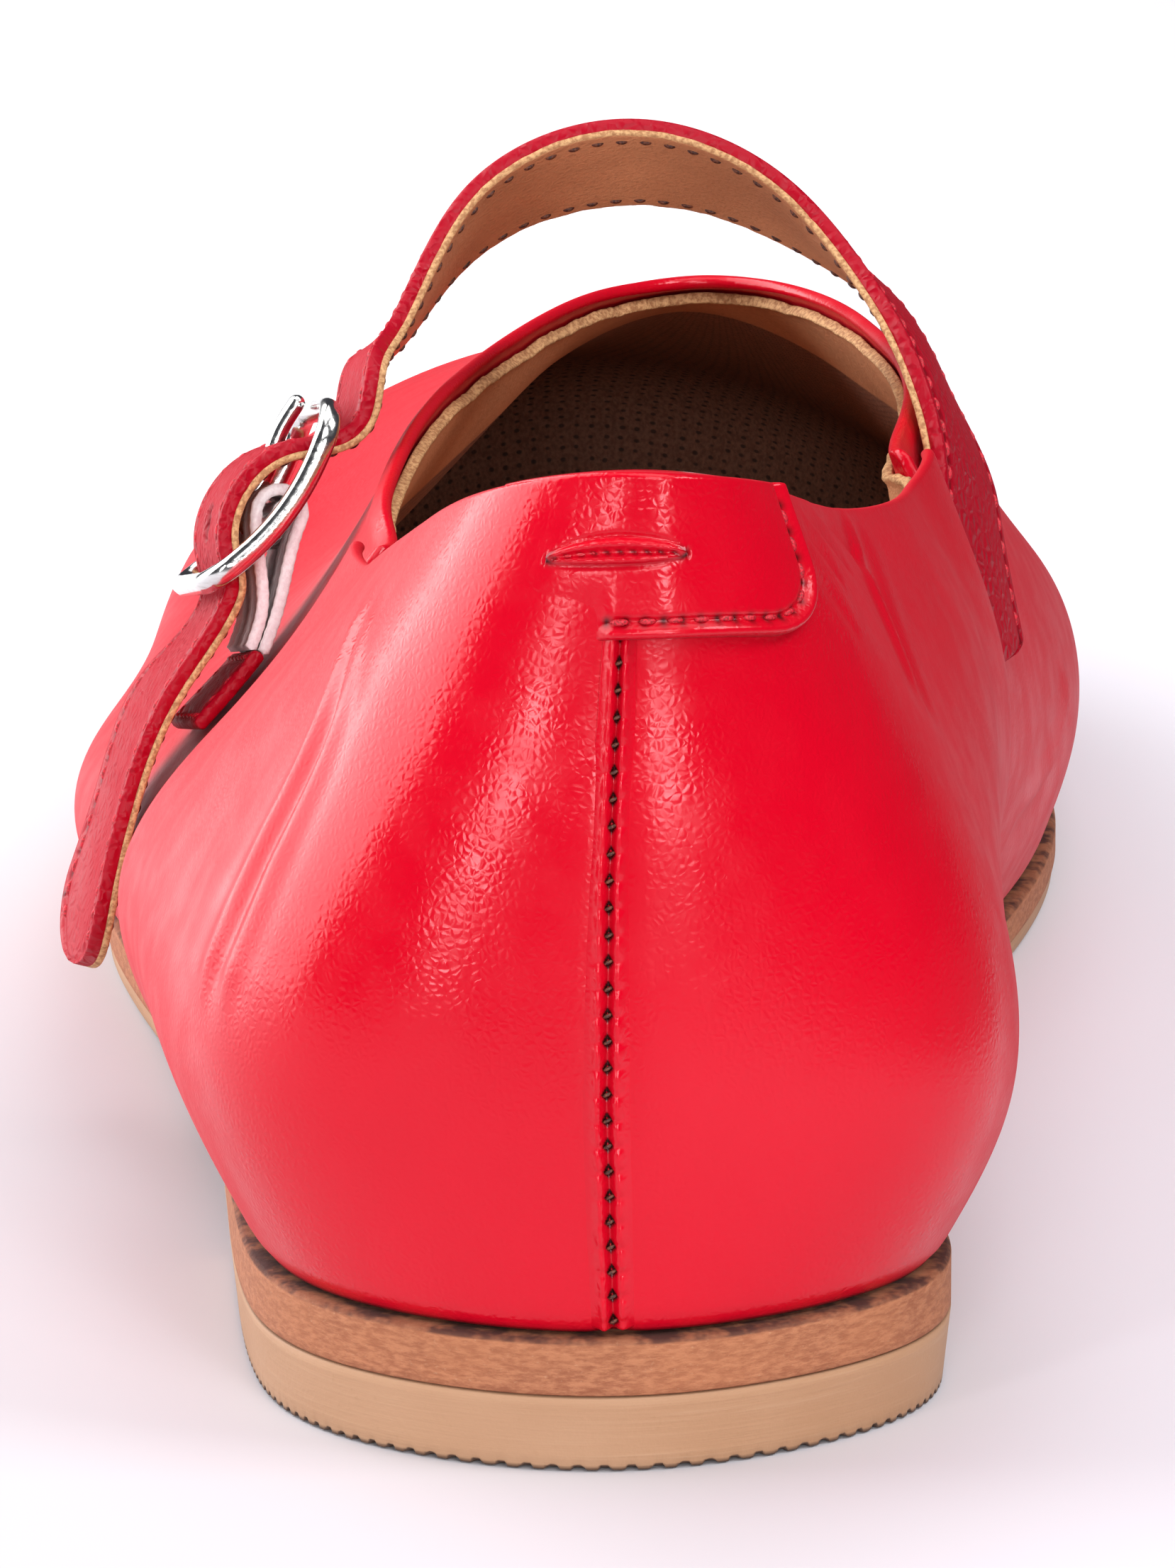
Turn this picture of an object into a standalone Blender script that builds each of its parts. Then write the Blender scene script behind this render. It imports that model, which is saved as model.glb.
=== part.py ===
"""Red leather Mary Jane flat, the left shoe of a pair.

Axes: +Y runs from heel to toe, +X is the medial side (towards the other foot),
-X is the lateral side that carries the buckle, +Z is up, and the floor is z = 0.
All drawing below is in millimetres, measured from the heel's rearmost line, and
is moved to the frame of the finished part and turned into metres at the end.

The upper is one function, skin(around, rise): `around` runs once round the foot
from the back seam, along the lateral side, over the toe and back along the
medial side, and `rise` runs from the line where the upper meets the sole (0) to
its top edge (1).  Every overlay on it is cut from the same function.
"""
import bpy
import bmesh
import numpy as np
from math import pi
from mathutils.bvhtree import BVHTree

# ---------------------------------------------------------------- driving sizes
LENGTH = 257.0            # whole shoe, heel to toe
BALL_WIDTH = 88.0         # outside of the upper across the ball
COLLAR_HEIGHT = 78.8      # back of the collar above the floor
SEAT_HEIGHT = 10.7        # top of the midsole under the heel
WALL = 1.8                # leather and lining of the upper
GAP = 0.3                 # clearance left between neighbouring pieces
LAP_STEP = 1.2            # the quarters' front edges lie this much proud of the vamp
LAP_FADE = 26.0           # and come down to the last over this distance
INSOLE_THICK = 2.0
STRAP_WIDTH = 15.4
STRAP_THICK = 1.7
BAR = 1.1                 # radius of the buckle's wire
PRONG = 0.8               # radius of the prong's wire
CENTRE = (2.81, 127.27)    # middle of the finished part's box, x and y

# the tables are drawn for this size and scale with the driving sizes
DRAWN = (88.0, 257.0, 78.8)
SCALE = np.array([BALL_WIDTH, LENGTH, COLLAR_HEIGHT]) / DRAWN
PERIMETER = 620.0 * SCALE[1]    # once round the foot, to turn mm into a share of it

# Heights along the sole: y, underside of the outsole, joint with the midsole,
# and the seat that the upper stands on.
SOLE_PROFILE = (
    # place         y      under  joint  seat
    ("heel back",   -2.0,  0.0,   6.3,   10.7),
    ("heel front",  56.0,  4.3,   6.1,   10.3),
    ("waist",       92.0,  2.3,   4.2,   7.4),
    ("ball back",   128.0, 0.0,   1.9,   4.7),
    ("ball front",  184.0, 0.0,   1.9,   4.4),
    ("toe bend",    220.0, 1.8,   3.6,   6.1),
    ("toe",         258.0, 7.2,   9.0,   11.4),
)

# Sections of the upper, one row for each place round the foot.
# foot: where the upper meets the sole; belly: how far out and how high its side
# bulges; shoulder: how far up the line from belly to top edge the next point
# sits, and crown: how far it stands off that line; top: the top edge.
SECTIONS = (
    # place               foot x  foot y belly out/up shoulder crown  top x   top y  top z
    ("back seam",          1.0,    1.0,   2.0,  17.0,  0.55,  0.8,    3.0,    3.6,  78.8),
    ("back lateral",     -17.0,    7.4,   4.0,  16.0,  0.55,  1.6,   -6.5,    8.6,  76.9),
    ("heel lateral",     -26.6,   28.0,   6.4,  16.0,  0.55,  2.2,  -13.0,   28.0,  69.0),
    ("quarter lateral",  -27.6,   58.0,   8.0,  16.0,  0.55,  2.0,  -16.0,   48.0,  61.0),
    ("waist lateral",    -29.4,   90.0,   6.4,  13.0,  0.52,  0.8,  -16.9,   69.0,  55.2),
    ("joint lateral",    -33.4,  122.0,   5.4,   9.5,  0.50, -0.6,  -13.4,   98.0,  56.6),
    ("ball lateral",     -36.2,  152.0,   3.0,   7.0,  0.46, -1.4,   -7.0,  128.0,  56.0),
    ("toe lateral",      -30.4,  190.0,   2.6,   6.5,  0.38,  0.4,    2.5,  152.0,  55.4),
    ("corner lateral",   -20.6,  229.0,   2.4,   8.5,  0.27,  2.6,    8.6,  161.0,  54.6),
    ("toe tip",            6.8,  253.6,   2.2,   9.5,  0.20,  3.4,   14.0,  163.5,  54.4),
    ("corner medial",     33.4,  231.0,   2.4,   8.5,  0.27,  2.8,   19.5,  160.0,  55.0),
    ("toe medial",        41.8,  203.0,   2.6,   8.0,  0.38,  1.6,   24.6,  148.5,  56.2),
    ("ball medial",       44.2,  169.0,   2.4,   9.0,  0.48,  2.6,   28.0,  130.0,  57.6),
    ("joint medial",      36.4,  132.0,   5.8,  13.0,  0.52,  1.9,   29.4,  110.0,  58.6),
    ("waist medial",      26.5,  100.0,   8.4,  16.5,  0.52,  3.0,   28.5,   87.0,  57.9),
    ("quarter medial",    23.2,   66.0,   9.2,  16.0,  0.52,  4.4,   25.0,   62.0,  61.2),
    ("heel medial",       26.6,   32.0,   5.8,  12.0,  0.52,  3.6,   18.2,   34.0,  68.2),
    ("back medial",       19.2,    9.0,   4.6,  15.0,  0.55,  1.8,   11.2,    9.6,  76.4),
)

# Front edges of the quarters, where they overlap the vamp.
LAP_EDGES = (
    # place     top section       sole section        share of the way to the next section
    ("lateral", "waist lateral",  "quarter lateral",  0.15, 0.30),
    ("medial",  "waist medial",   "quarter medial",  -0.15, -0.30),
)

# Soft folds in the vamp just in front of those edges: mm ahead of the edge, half
# width in mm on the heel side and on the toe side, depth, the rise where they
# start and where they are deepest, and the share left at the top edge.
FOLDS = (
    # place            ahead  heel   toe    depth  start deepest left
    ("lateral valley",  6.5,   4.5,   9.0,   4.2,   0.35, 0.75,  0.40),
    ("medial valley",   6.5,   4.5,  16.0,   4.2,   0.30, 0.72,  0.45),
)


def named(rows, name):
    """Index of the table row called `name`."""
    return [row[0] for row in rows].index(name)


# ---------------------------------------------------------------- curve helpers
def monotone(knots, values, at):
    """Cubic through the knots that never overshoots, flat where two values agree."""
    knots, values = np.asarray(knots, float), np.asarray(values, float)
    step = np.diff(knots)
    slope = np.diff(values) / step
    tangent = np.zeros(len(knots))
    tangent[0], tangent[-1] = slope[0], slope[-1]
    for i in range(1, len(knots) - 1):
        if slope[i - 1] * slope[i] > 0:
            weight = (2 * step[i] + step[i - 1], step[i] + 2 * step[i - 1])
            tangent[i] = sum(weight) / (weight[0] / slope[i - 1] + weight[1] / slope[i])
    at = np.clip(at, knots[0], knots[-1])
    i = np.clip(np.searchsorted(knots, at, side="right") - 1, 0, len(step) - 1)
    u = (at - knots[i]) / step[i]
    return ((1 + 2 * u) * (1 - u) ** 2 * values[i] + u * (1 - u) ** 2 * step[i] * tangent[i]
            + u * u * (3 - 2 * u) * values[i + 1] + u * u * (u - 1) * step[i] * tangent[i + 1])


def closed_spline(knots, rows, at):
    """Smooth closed cubic through `rows` at `knots`, which run once over 0 to 1."""
    count = len(knots)
    step = np.diff(np.append(knots, knots[0] + 1.0))
    system = np.zeros((count, count))
    right = np.zeros(rows.shape)
    for i in range(count):
        after = (i + 1) % count
        system[i, i - 1] += step[i - 1]
        system[i, i] += 2 * (step[i - 1] + step[i])
        system[i, after] += step[i]
        right[i] = 6 * ((rows[after] - rows[i]) / step[i] - (rows[i] - rows[i - 1]) / step[i - 1])
    bend = np.linalg.solve(system, right)
    at = np.mod(at, 1.0)
    i = np.clip(np.searchsorted(knots, at, side="right") - 1, 0, count - 1)
    j = (i + 1) % count
    width = step[i][..., None]
    b = (at - knots[i])[..., None] / width
    a = 1 - b
    return (a * rows[i] + b * rows[j]
            + ((a ** 3 - a) * bend[i] + (b ** 3 - b) * bend[j]) * width ** 2 / 6)


def open_spline(rows, at):
    """Smooth open cubic through `rows`, spaced by their distance, for `at` in 0 to 1."""
    rows = np.asarray(rows, float)
    knots = np.append(0, np.cumsum(np.linalg.norm(np.diff(rows, axis=0), axis=1)))
    knots /= knots[-1]
    count = len(rows)
    step = np.diff(knots)
    system = np.eye(count)
    right = np.zeros(rows.shape)
    for i in range(1, count - 1):
        system[i, i - 1:i + 2] = step[i - 1], 2 * (step[i - 1] + step[i]), step[i]
        right[i] = 6 * ((rows[i + 1] - rows[i]) / step[i] - (rows[i] - rows[i - 1]) / step[i - 1])
    bend = np.linalg.solve(system, right)
    i = np.clip(np.searchsorted(knots, at, side="right") - 1, 0, count - 2)
    width = step[i][:, None]
    b = (at - knots[i])[:, None] / width
    a = 1 - b
    return (a * rows[i] + b * rows[i + 1]
            + ((a ** 3 - a) * bend[i] + (b ** 3 - b) * bend[i + 1]) * width ** 2 / 6)


def smooth(low, high, value):
    """0 below `low`, 1 above `high`, and a soft S between."""
    u = np.clip((value - low) / (high - low), 0, 1)
    return u * u * (3 - 2 * u)


def unit(vectors):
    return vectors / np.linalg.norm(vectors, axis=-1, keepdims=True)


# ---------------------------------------------------------------- the last
def sole_height(column, y):
    """Height of one line of SOLE_PROFILE: 2 underside, 3 joint, 4 seat."""
    stations = [row[1] * SCALE[1] for row in SOLE_PROFILE]
    lift = SEAT_HEIGHT / SOLE_PROFILE[0][4]
    return monotone(stations, [row[column] * lift for row in SOLE_PROFILE], y)


TABLE = np.array([row[1:] for row in SECTIONS], float)
TABLE[:, [0, 6]] *= SCALE[0]
TABLE[:, [1, 7]] *= SCALE[1]
TABLE[:, 8] *= SCALE[2]


def section_places():
    """Where each section lies round the foot, by mean distance along sole and top edge."""
    places = 0
    for columns in ([0, 1], [6, 7, 8]):
        steps = np.linalg.norm(np.roll(TABLE[:, columns], -1, axis=0) - TABLE[:, columns], axis=1)
        places = places + np.append(0, np.cumsum(steps))[:-1] / steps.sum() / 2
    return places


PLACES = section_places()


def place(name):
    return PLACES[named(SECTIONS, name)]


def foot_line(around):
    """The line where the upper meets the sole, seen from above, and its outward normal."""
    nudge = 0.0005
    here = closed_spline(PLACES, TABLE[:, :2], around)
    ahead = (closed_spline(PLACES, TABLE[:, :2], around + nudge)
             - closed_spline(PLACES, TABLE[:, :2], around - nudge))
    # the line runs clockwise seen from above, so its left is outside
    outward = unit(np.stack([-ahead[..., 1], ahead[..., 0]], axis=-1))
    return here, outward


def last(around, rise):
    """Smooth form of the upper: a cubic through foot, belly, shoulder and top edge."""
    here, outward = foot_line(around)
    values = closed_spline(PLACES, TABLE, around)
    seat = sole_height(4, here[..., 1]) + GAP
    foot = np.concatenate([here, seat[..., None]], axis=-1)
    belly = np.concatenate([here + outward * values[..., 2:3], (seat + values[..., 3])[..., None]],
                           axis=-1)
    top = values[..., 6:9]
    out3 = np.concatenate([outward, np.zeros(seat.shape + (1,))], axis=-1)
    along = unit(top - belly)
    # the crown stands off the straight line at right angles to it, up and out
    off = out3 + np.array([0, 0, 1.0])
    off = unit(off - (off * along).sum(-1, keepdims=True) * along)
    shoulder = belly + (top - belly) * values[..., 4:5] + off * values[..., 5:6]
    points = [foot, belly, shoulder, top]
    chord = [np.linalg.norm(b - a, axis=-1, keepdims=True) for a, b in zip(points, points[1:])]
    total = chord[0] + chord[1] + chord[2]
    slope = [(b - a) / h for a, b, h in zip(points, points[1:], chord)]
    right = 6 * (slope[1] - slope[0]), 6 * (slope[2] - slope[1])
    p, q, r = 2 * (chord[0] + chord[1]), chord[1], 2 * (chord[1] + chord[2])
    bend = [0, (r * right[0] - q * right[1]) / (p * r - q * q),
            (p * right[1] - q * right[0]) / (p * r - q * q), 0]
    distance = rise[..., None] * total
    result = np.zeros(foot.shape)
    start = 0
    for i in range(3):
        b = (distance - start) / chord[i]
        a = 1 - b
        piece = (a * points[i] + b * points[i + 1]
                 + ((a ** 3 - a) * bend[i] + (b ** 3 - b) * bend[i + 1]) * chord[i] ** 2 / 6)
        result = np.where((b >= 0) | (i == 0), piece, result)
        start = start + chord[i]
    return result


def lap_edge(side, rise):
    """Place round the foot of the quarter's front edge, at each rise."""
    name, top, foot, top_share, foot_share = LAP_EDGES[side]
    ends = []
    for section, share in ((foot, foot_share), (top, top_share)):
        i = named(SECTIONS, section)
        neighbour = PLACES[(i + 1) % len(PLACES)] if share > 0 else PLACES[i - 1]
        ends.append(PLACES[i] + (neighbour - PLACES[i]) * abs(share))
    return ends[0] + (ends[1] - ends[0]) * np.asarray(rise) ** 1.3


def fold_depth(around, rise):
    """How far the soft folds sink the wall at each place."""
    depth = np.zeros(np.broadcast(around, rise).shape)
    for side, (name, ahead, heel_side, toe_side, deep, start, deepest, left) in enumerate(FOLDS):
        toward_toe = 1 - 2 * side
        across = (np.mod(around, 1.0) - lap_edge(side, rise)) * toward_toe * PERIMETER - ahead
        across = across / np.where(across < 0, heel_side, toe_side)
        fade = smooth(start, deepest, rise) * (1 - (1 - left) * smooth(deepest, 1.0, rise))
        depth += deep * np.exp(-across ** 2) * fade
    return depth


def lap_step(around, rise):
    """Height of the quarters over the vamp, full at their front edges, fading to the heel."""
    around = np.mod(around, 1.0)
    lateral = (lap_edge(0, rise) - around) * PERIMETER
    medial = (around - lap_edge(1, rise)) * PERIMETER
    back = np.maximum(lateral, medial)
    return np.where(back >= 0, LAP_STEP * (1 - smooth(2.0, LAP_FADE, back)), 0.0)


def frame_of(around, rise):
    """Point of the last and its outward unit normal."""
    nudge = 0.001
    point = last(around, rise)
    low, high = np.clip(rise - nudge, 0, 1), np.clip(rise + nudge, 0, 1)
    normal = np.cross(last(around + nudge, rise) - last(around - nudge, rise),
                      last(around, high) - last(around, low))
    return point, -unit(normal)


def skin(around, rise, lift=0.0):
    """Outside of the upper without the step of the lap, `lift` above the leather."""
    around, rise = np.broadcast_arrays(np.asarray(around, float), np.asarray(rise, float))
    point, normal = frame_of(around, rise)
    return point + normal * (lift - fold_depth(around, rise))[..., None]


# ---------------------------------------------------------------- meshes
def add_piece(name, points, faces, material):
    """One closed mesh object from points in drawing millimetres."""
    points = (np.asarray(points, float).reshape(-1, 3) - [CENTRE[0], CENTRE[1], 0.0]) * 0.001
    mesh = bpy.data.meshes.new(name)
    mesh.from_pydata([tuple(p) for p in points], [], [tuple(map(int, f)) for f in faces])
    work = bmesh.new()
    work.from_mesh(mesh)
    bmesh.ops.remove_doubles(work, verts=work.verts, dist=2e-6)
    bmesh.ops.dissolve_degenerate(work, edges=work.edges, dist=2e-6)
    bmesh.ops.triangulate(work, faces=work.faces)
    bmesh.ops.recalc_face_normals(work, faces=work.faces)
    work.to_mesh(mesh)
    work.free()
    mesh.materials.append(material)
    mesh.shade_smooth()
    mesh.set_sharp_from_angle(angle=pi / 5)
    piece = bpy.data.objects.new(name, mesh)
    bpy.context.scene.collection.objects.link(piece)
    return piece


def grid_faces(rows, columns, closed_rows=False, closed_columns=False, start=0):
    """Quads of a grid of points stored row by row."""
    i = np.arange(rows if closed_rows else rows - 1)[:, None]
    j = np.arange(columns if closed_columns else columns - 1)[None, :]
    down, right = (i + 1) % rows, (j + 1) % columns
    quads = np.stack(np.broadcast_arrays(i * columns + j, down * columns + j,
                                         down * columns + right, i * columns + right), axis=-1)
    return (quads.reshape(-1, 4) + start).tolist()


def slab(inner, outer):
    """Points and faces of a closed sheet between two matching open grids of points."""
    rows, columns = inner.shape[:2]
    count = rows * columns
    points = np.concatenate([inner.reshape(-1, 3), outer.reshape(-1, 3)])
    faces = grid_faces(rows, columns) + [f[::-1] for f in grid_faces(rows, columns, start=count)]
    index = np.arange(count).reshape(rows, columns)
    rim = np.concatenate([index[0, :-1], index[:-1, -1], index[-1, :0:-1], index[:0:-1, 0]])
    for a, b in zip(rim, np.roll(rim, -1)):
        faces.append((b, a, a + count, b + count))
    return points, faces


def leather(name, colour, roughness, metallic=0.0):
    material = bpy.data.materials.new(name)
    material.use_nodes = True
    shader = material.node_tree.nodes["Principled BSDF"]
    shader.inputs["Base Color"].default_value = (*colour, 1.0)
    shader.inputs["Roughness"].default_value = roughness
    shader.inputs["Metallic"].default_value = metallic
    return material


# ---------------------------------------------------------------- sole pieces
def sole_outline(offset, share, y_from=None, y_to=None):
    """Lateral and medial points of the foot line moved out by `offset`, at even y's.

    share runs from 0 at the rear end to 1 at the front end; a round end has both
    sides meeting, an end cut at y_from or y_to stays straight.
    """
    around = np.arange(1440) / 1440
    line, outward = foot_line(around)
    line = line + outward * offset
    rear, front = line[:, 1].argmin(), line[:, 1].argmax()
    lateral = line[rear:front + 1] if rear < front else np.concatenate([line[rear:], line[:front + 1]])
    medial = np.concatenate([line[front:], line[:rear + 1]])[::-1] if rear < front \
        else line[front:rear + 1][::-1]
    low = line[rear, 1] if y_from is None else y_from
    high = line[front, 1] if y_to is None else y_to
    y = low + (high - low) * share
    sides = []
    for half in (lateral, medial):
        rising = np.maximum.accumulate(half[:, 1])
        sides.append(np.stack([np.interp(y, rising, half[:, 0]), y], axis=1))
    return sides


def sole_plate(name, material, rings, y_from=None, y_to=None, stations=44):
    """Closed plate of the sole: `rings` from the bottom up, each (offset, height of y)."""
    step = np.arange(stations + 1) / stations
    rear_round, front_round = y_from is None, y_to is None
    if rear_round and front_round:
        share = (1 - np.cos(pi * step)) / 2
    elif rear_round:
        share = 1 - np.cos(pi * step / 2)
    else:
        share = np.sin(pi * step / 2)
    loops = []
    for offset, height in rings:
        lateral, medial = sole_outline(offset, share, y_from, y_to)
        loop = np.concatenate([lateral, medial[::-1]])
        loops.append(np.column_stack([loop, height(loop[:, 1])]))
    size = len(loops[0])
    points = np.concatenate(loops)
    faces = grid_faces(len(loops), size, closed_columns=True)
    for first, flip in ((0, False), ((len(loops) - 1) * size, True)):
        for i in range(stations):
            cap = [first + i, first + i + 1, first + size - 2 - i, first + size - 1 - i]
            faces.append(cap[::-1] if flip else cap)
    return add_piece(name, points, faces, material)


HEEL_BREAST = 58.0        # front face of the heel
MIDSOLE_REACH = 1.0       # midsole edge outside the foot line
OUTSOLE_REACH = 0.7
HEEL_TAPER = 0.6          # the heel narrows by this much down to the floor


def build_sole():
    rubber = leather("sole_rubber", (0.66, 0.44, 0.26), 0.7)
    board = leather("midsole_board", (0.36, 0.17, 0.08), 0.75)
    tan = leather("insole_leather", (0.42, 0.24, 0.12), 0.6)

    def under(lift):
        return lambda y: sole_height(2, y) + lift

    def joint(lift):
        return lambda y: sole_height(3, y) + lift

    def seat(lift):
        return lambda y: sole_height(4, y) + lift

    def floor(lift):
        return lambda y: np.zeros_like(y) + lift

    sole_plate("heel", rubber, [
        (MIDSOLE_REACH - HEEL_TAPER - 0.3, floor(0.0)),
        (MIDSOLE_REACH - HEEL_TAPER, floor(0.3)),
        (MIDSOLE_REACH, joint(-GAP)),
    ], y_to=HEEL_BREAST, stations=26)
    sole_plate("outsole", rubber, [
        (OUTSOLE_REACH - 0.6, under(0.0)),
        (OUTSOLE_REACH, under(0.5)),
        (OUTSOLE_REACH, joint(-GAP)),
    ], y_from=HEEL_BREAST + GAP, stations=44)
    sole_plate("midsole", board, [
        (MIDSOLE_REACH, joint(0.0)),
        (MIDSOLE_REACH, seat(-0.5)),
        (MIDSOLE_REACH - 0.5, seat(0.0)),
    ], stations=52)
    reach = -(WALL + 1.2)
    sole_plate("insole", tan, [
        (reach, seat(GAP)),
        (reach, seat(GAP + INSOLE_THICK - 0.5)),
        (reach - 0.6, seat(GAP + INSOLE_THICK)),
    ], stations=44)


# ---------------------------------------------------------------- upper
COLUMNS = 94              # even columns round the upper, besides the two lapped edges
ROWS = 15                 # rows from the sole to the top edge
CROWDING = 0.40           # columns stand closer together round the heel and the toe
EDGE_RAMP = 0.4           # half width of the ramp up the lap's cut edge


def upper_grid():
    """Places round and up the wall; quarters and vamp are gridded apart, up to the lap's edge."""
    rise = np.linspace(0, 1, ROWS)[:, None]
    lateral, medial = lap_edge(0, rise), lap_edge(1, rise)
    ramp = EDGE_RAMP / PERIMETER
    columns = []
    for start, end, length in ((medial - 1, lateral, 0.45), (lateral, medial, 0.55)):
        share = np.linspace(0, 1, round(COLUMNS * length))[None, :]
        share = share + CROWDING * np.sin(2 * pi * share) / (2 * pi)
        columns.append(start + ramp + (end - start - 2 * ramp) * share)
    around = np.concatenate(columns, axis=1)
    return around, np.broadcast_to(rise, around.shape)


def build_upper():
    red = leather("red_leather", (0.79, 0.005, 0.02), 0.35)
    around, rise = upper_grid()
    point, normal = frame_of(around, rise)
    depth = fold_depth(around, rise)
    outer = point + normal * (lap_step(around, rise) - depth)[..., None]
    inner = point - normal * (WALL + depth)[..., None]
    # the foot of the wall is flat on the midsole
    flat = unit(normal[0, :, :2])
    for grid, inset in ((outer, 0.0), (inner, WALL)):
        grid[0, :, :2] = point[0, :, :2] - flat * inset
        grid[0, :, 2] = sole_height(4, grid[0, :, 1]) + GAP
    rows, count = around.shape
    points = np.concatenate([outer.reshape(-1, 3), inner.reshape(-1, 3)])
    size = rows * count
    faces = grid_faces(rows, count, closed_columns=True)
    faces += [f[::-1] for f in grid_faces(rows, count, closed_columns=True, start=size)]
    for row, flip in ((0, False), (rows - 1, True)):
        for j in range(count):
            k = (j + 1) % count
            rim = [row * count + k, size + row * count + k, size + row * count + j, row * count + j]
            faces.append(rim[::-1] if flip else rim)
    add_piece("upper", points, faces, red)


# ---------------------------------------------------------------- heel tab
TAB_THICK = 1.1
TAB_MEDIAL = 27.5         # how far the tab reaches past the back seam
TAB_LATERAL = 18.0        # and how far it thins out into its own quarter
TAB_FEATHER = 0.3         # thickness there
TAB_DROP = 0.835          # rise of its lower edge
TAB_CORNER = 7.0


def build_heel_tab():
    """End of the lateral quarter that laps over the back seam under the collar."""
    red = bpy.data.materials["red_leather"]
    past = np.concatenate([np.linspace(-TAB_LATERAL, TAB_MEDIAL - TAB_CORNER, 13),
                           TAB_MEDIAL - TAB_CORNER * (1 - np.sin(np.linspace(0.2, 1, 6) * pi / 2))])
    into = np.clip((past - TAB_MEDIAL + TAB_CORNER) / TAB_CORNER, 0, 1)
    # the lower medial corner is a quarter circle
    lower = TAB_DROP + (1 - np.sqrt(1 - into ** 2)) * TAB_CORNER / 85.0
    around = np.broadcast_to(-past / PERIMETER, (6, len(past)))
    share = np.linspace(0, 1, 6)[:, None]
    rise = lower + (1 - lower) * share
    thick = TAB_FEATHER + (TAB_THICK - TAB_FEATHER) * smooth(-TAB_LATERAL, -2.0, past)
    points, faces = slab(skin(around, rise, GAP), skin(around, rise, GAP + thick))
    add_piece("heel_tab", points, faces, red)


# ---------------------------------------------------------------- buckle
BUCKLE_AT = np.array([-23.9, 102.8, 49.7])       # middle of the centre bar
DOWN = unit(np.array([-0.60, -0.29, -0.745]))    # along the strap, towards its tip
ACROSS = np.array([-0.12, 0.955, -0.27])         # from the rear to the front side bar
ACROSS = unit(ACROSS - DOWN * (DOWN @ ACROSS))
OUT = np.cross(ACROSS, DOWN)                     # away from the foot
RING_HALF_LENGTH = 9.2
RING_HALF_WIDTH = 9.4
RING_CORNER = 2.8
RING_BOW = 1.9            # the end bars stand this much further out than the centre bar
TUBE_SIDES = 8


def at_buckle(down, out, across=0.0):
    """Point given by its distances from the middle of the centre bar."""
    down, out, across = np.broadcast_arrays(*(np.asarray(v, float) for v in (down, out, across)))
    return BUCKLE_AT + down[..., None] * DOWN + out[..., None] * OUT + across[..., None] * ACROSS


def tube(path, radius, closed=False, sides=TUBE_SIDES):
    """Points and faces of a round bar along `path`."""
    if closed:
        along = unit(np.roll(path, -1, axis=0) - np.roll(path, 1, axis=0))
    else:
        along = unit(np.gradient(path, axis=0))
    side = unit(np.cross(along, OUT + 0.01 * DOWN))
    up = np.cross(side, along)
    turn = 2 * pi * np.arange(sides) / sides
    ring = (np.cos(turn)[:, None] * side[:, None] + np.sin(turn)[:, None] * up[:, None]) * radius
    points = (path[:, None] + ring).reshape(-1, 3)
    faces = grid_faces(len(path), sides, closed_rows=closed, closed_columns=True)
    if not closed:
        faces += [list(range(sides))[::-1], [len(points) - sides + k for k in range(sides)]]
    return points, faces


def hide_cutter(cutter):
    cutter.hide_render = True
    cutter.display_type = "WIRE"
    return cutter


def combine(piece, cutter, operation):
    """Boolean of `piece` with a hidden helper."""
    boolean = piece.modifiers.new(operation.lower(), "BOOLEAN")
    boolean.operation = operation
    boolean.object = hide_cutter(cutter)


def build_buckle_frame():
    metal = leather("buckle_metal", (0.72, 0.72, 0.72), 0.18, metallic=1.0)
    turn = np.linspace(0, pi / 2, 6)
    quarter = [(RING_HALF_LENGTH - RING_CORNER * (1 - np.sin(t)),
                RING_HALF_WIDTH - RING_CORNER * (1 - np.cos(t))) for t in turn]
    corner = np.array(quarter)
    down = np.concatenate([corner[:, 0], corner[::-1, 0], -corner[:, 0], -corner[::-1, 0]])
    across = np.concatenate([corner[:, 1], -corner[::-1, 1], -corner[:, 1], corner[::-1, 1]])
    # the long side bars get their bow from points between the corners
    loop = []
    for a, b in zip(np.column_stack([down, across]), np.roll(np.column_stack([down, across]), -1, 0)):
        pieces = 1 if np.linalg.norm(b - a) < 3 else 5
        loop += [a + (b - a) * k / pieces for k in range(pieces)]
    loop = np.array(loop)
    path = at_buckle(loop[:, 0], RING_BOW * (loop[:, 0] / RING_HALF_LENGTH) ** 2, loop[:, 1])
    ring = add_piece("buckle_frame", *tube(path, BAR, closed=True), metal)
    bar = np.linspace(-RING_HALF_WIDTH, RING_HALF_WIDTH, 5)
    combine(ring, add_piece("bar_cutter", *tube(at_buckle(0, 0, bar), BAR * 0.93), metal), "UNION")


# The prong: a hook round the centre bar, then out through the strap to rest on
# the upper end bar.  Distances down the strap and out from the centre bar.
HOOK = BAR + GAP + PRONG
PRONG_REACH = ((-3.2, 2.5), (-5.2, 3.5), (-7.4, 4.2), (-9.8, 4.2))


def prong_path():
    turn = np.radians(np.linspace(-150, 100, 16))
    hook = np.column_stack([HOOK * np.cos(turn), HOOK * np.sin(turn)])
    points = np.concatenate([hook, np.array(PRONG_REACH)])
    smooth_path = open_spline(points, np.linspace(0, 1, 44))
    return at_buckle(smooth_path[:, 0], smooth_path[:, 1])


def build_prong():
    metal = bpy.data.materials["buckle_metal"]
    add_piece("buckle_prong", *tube(prong_path(), PRONG), metal)


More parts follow.
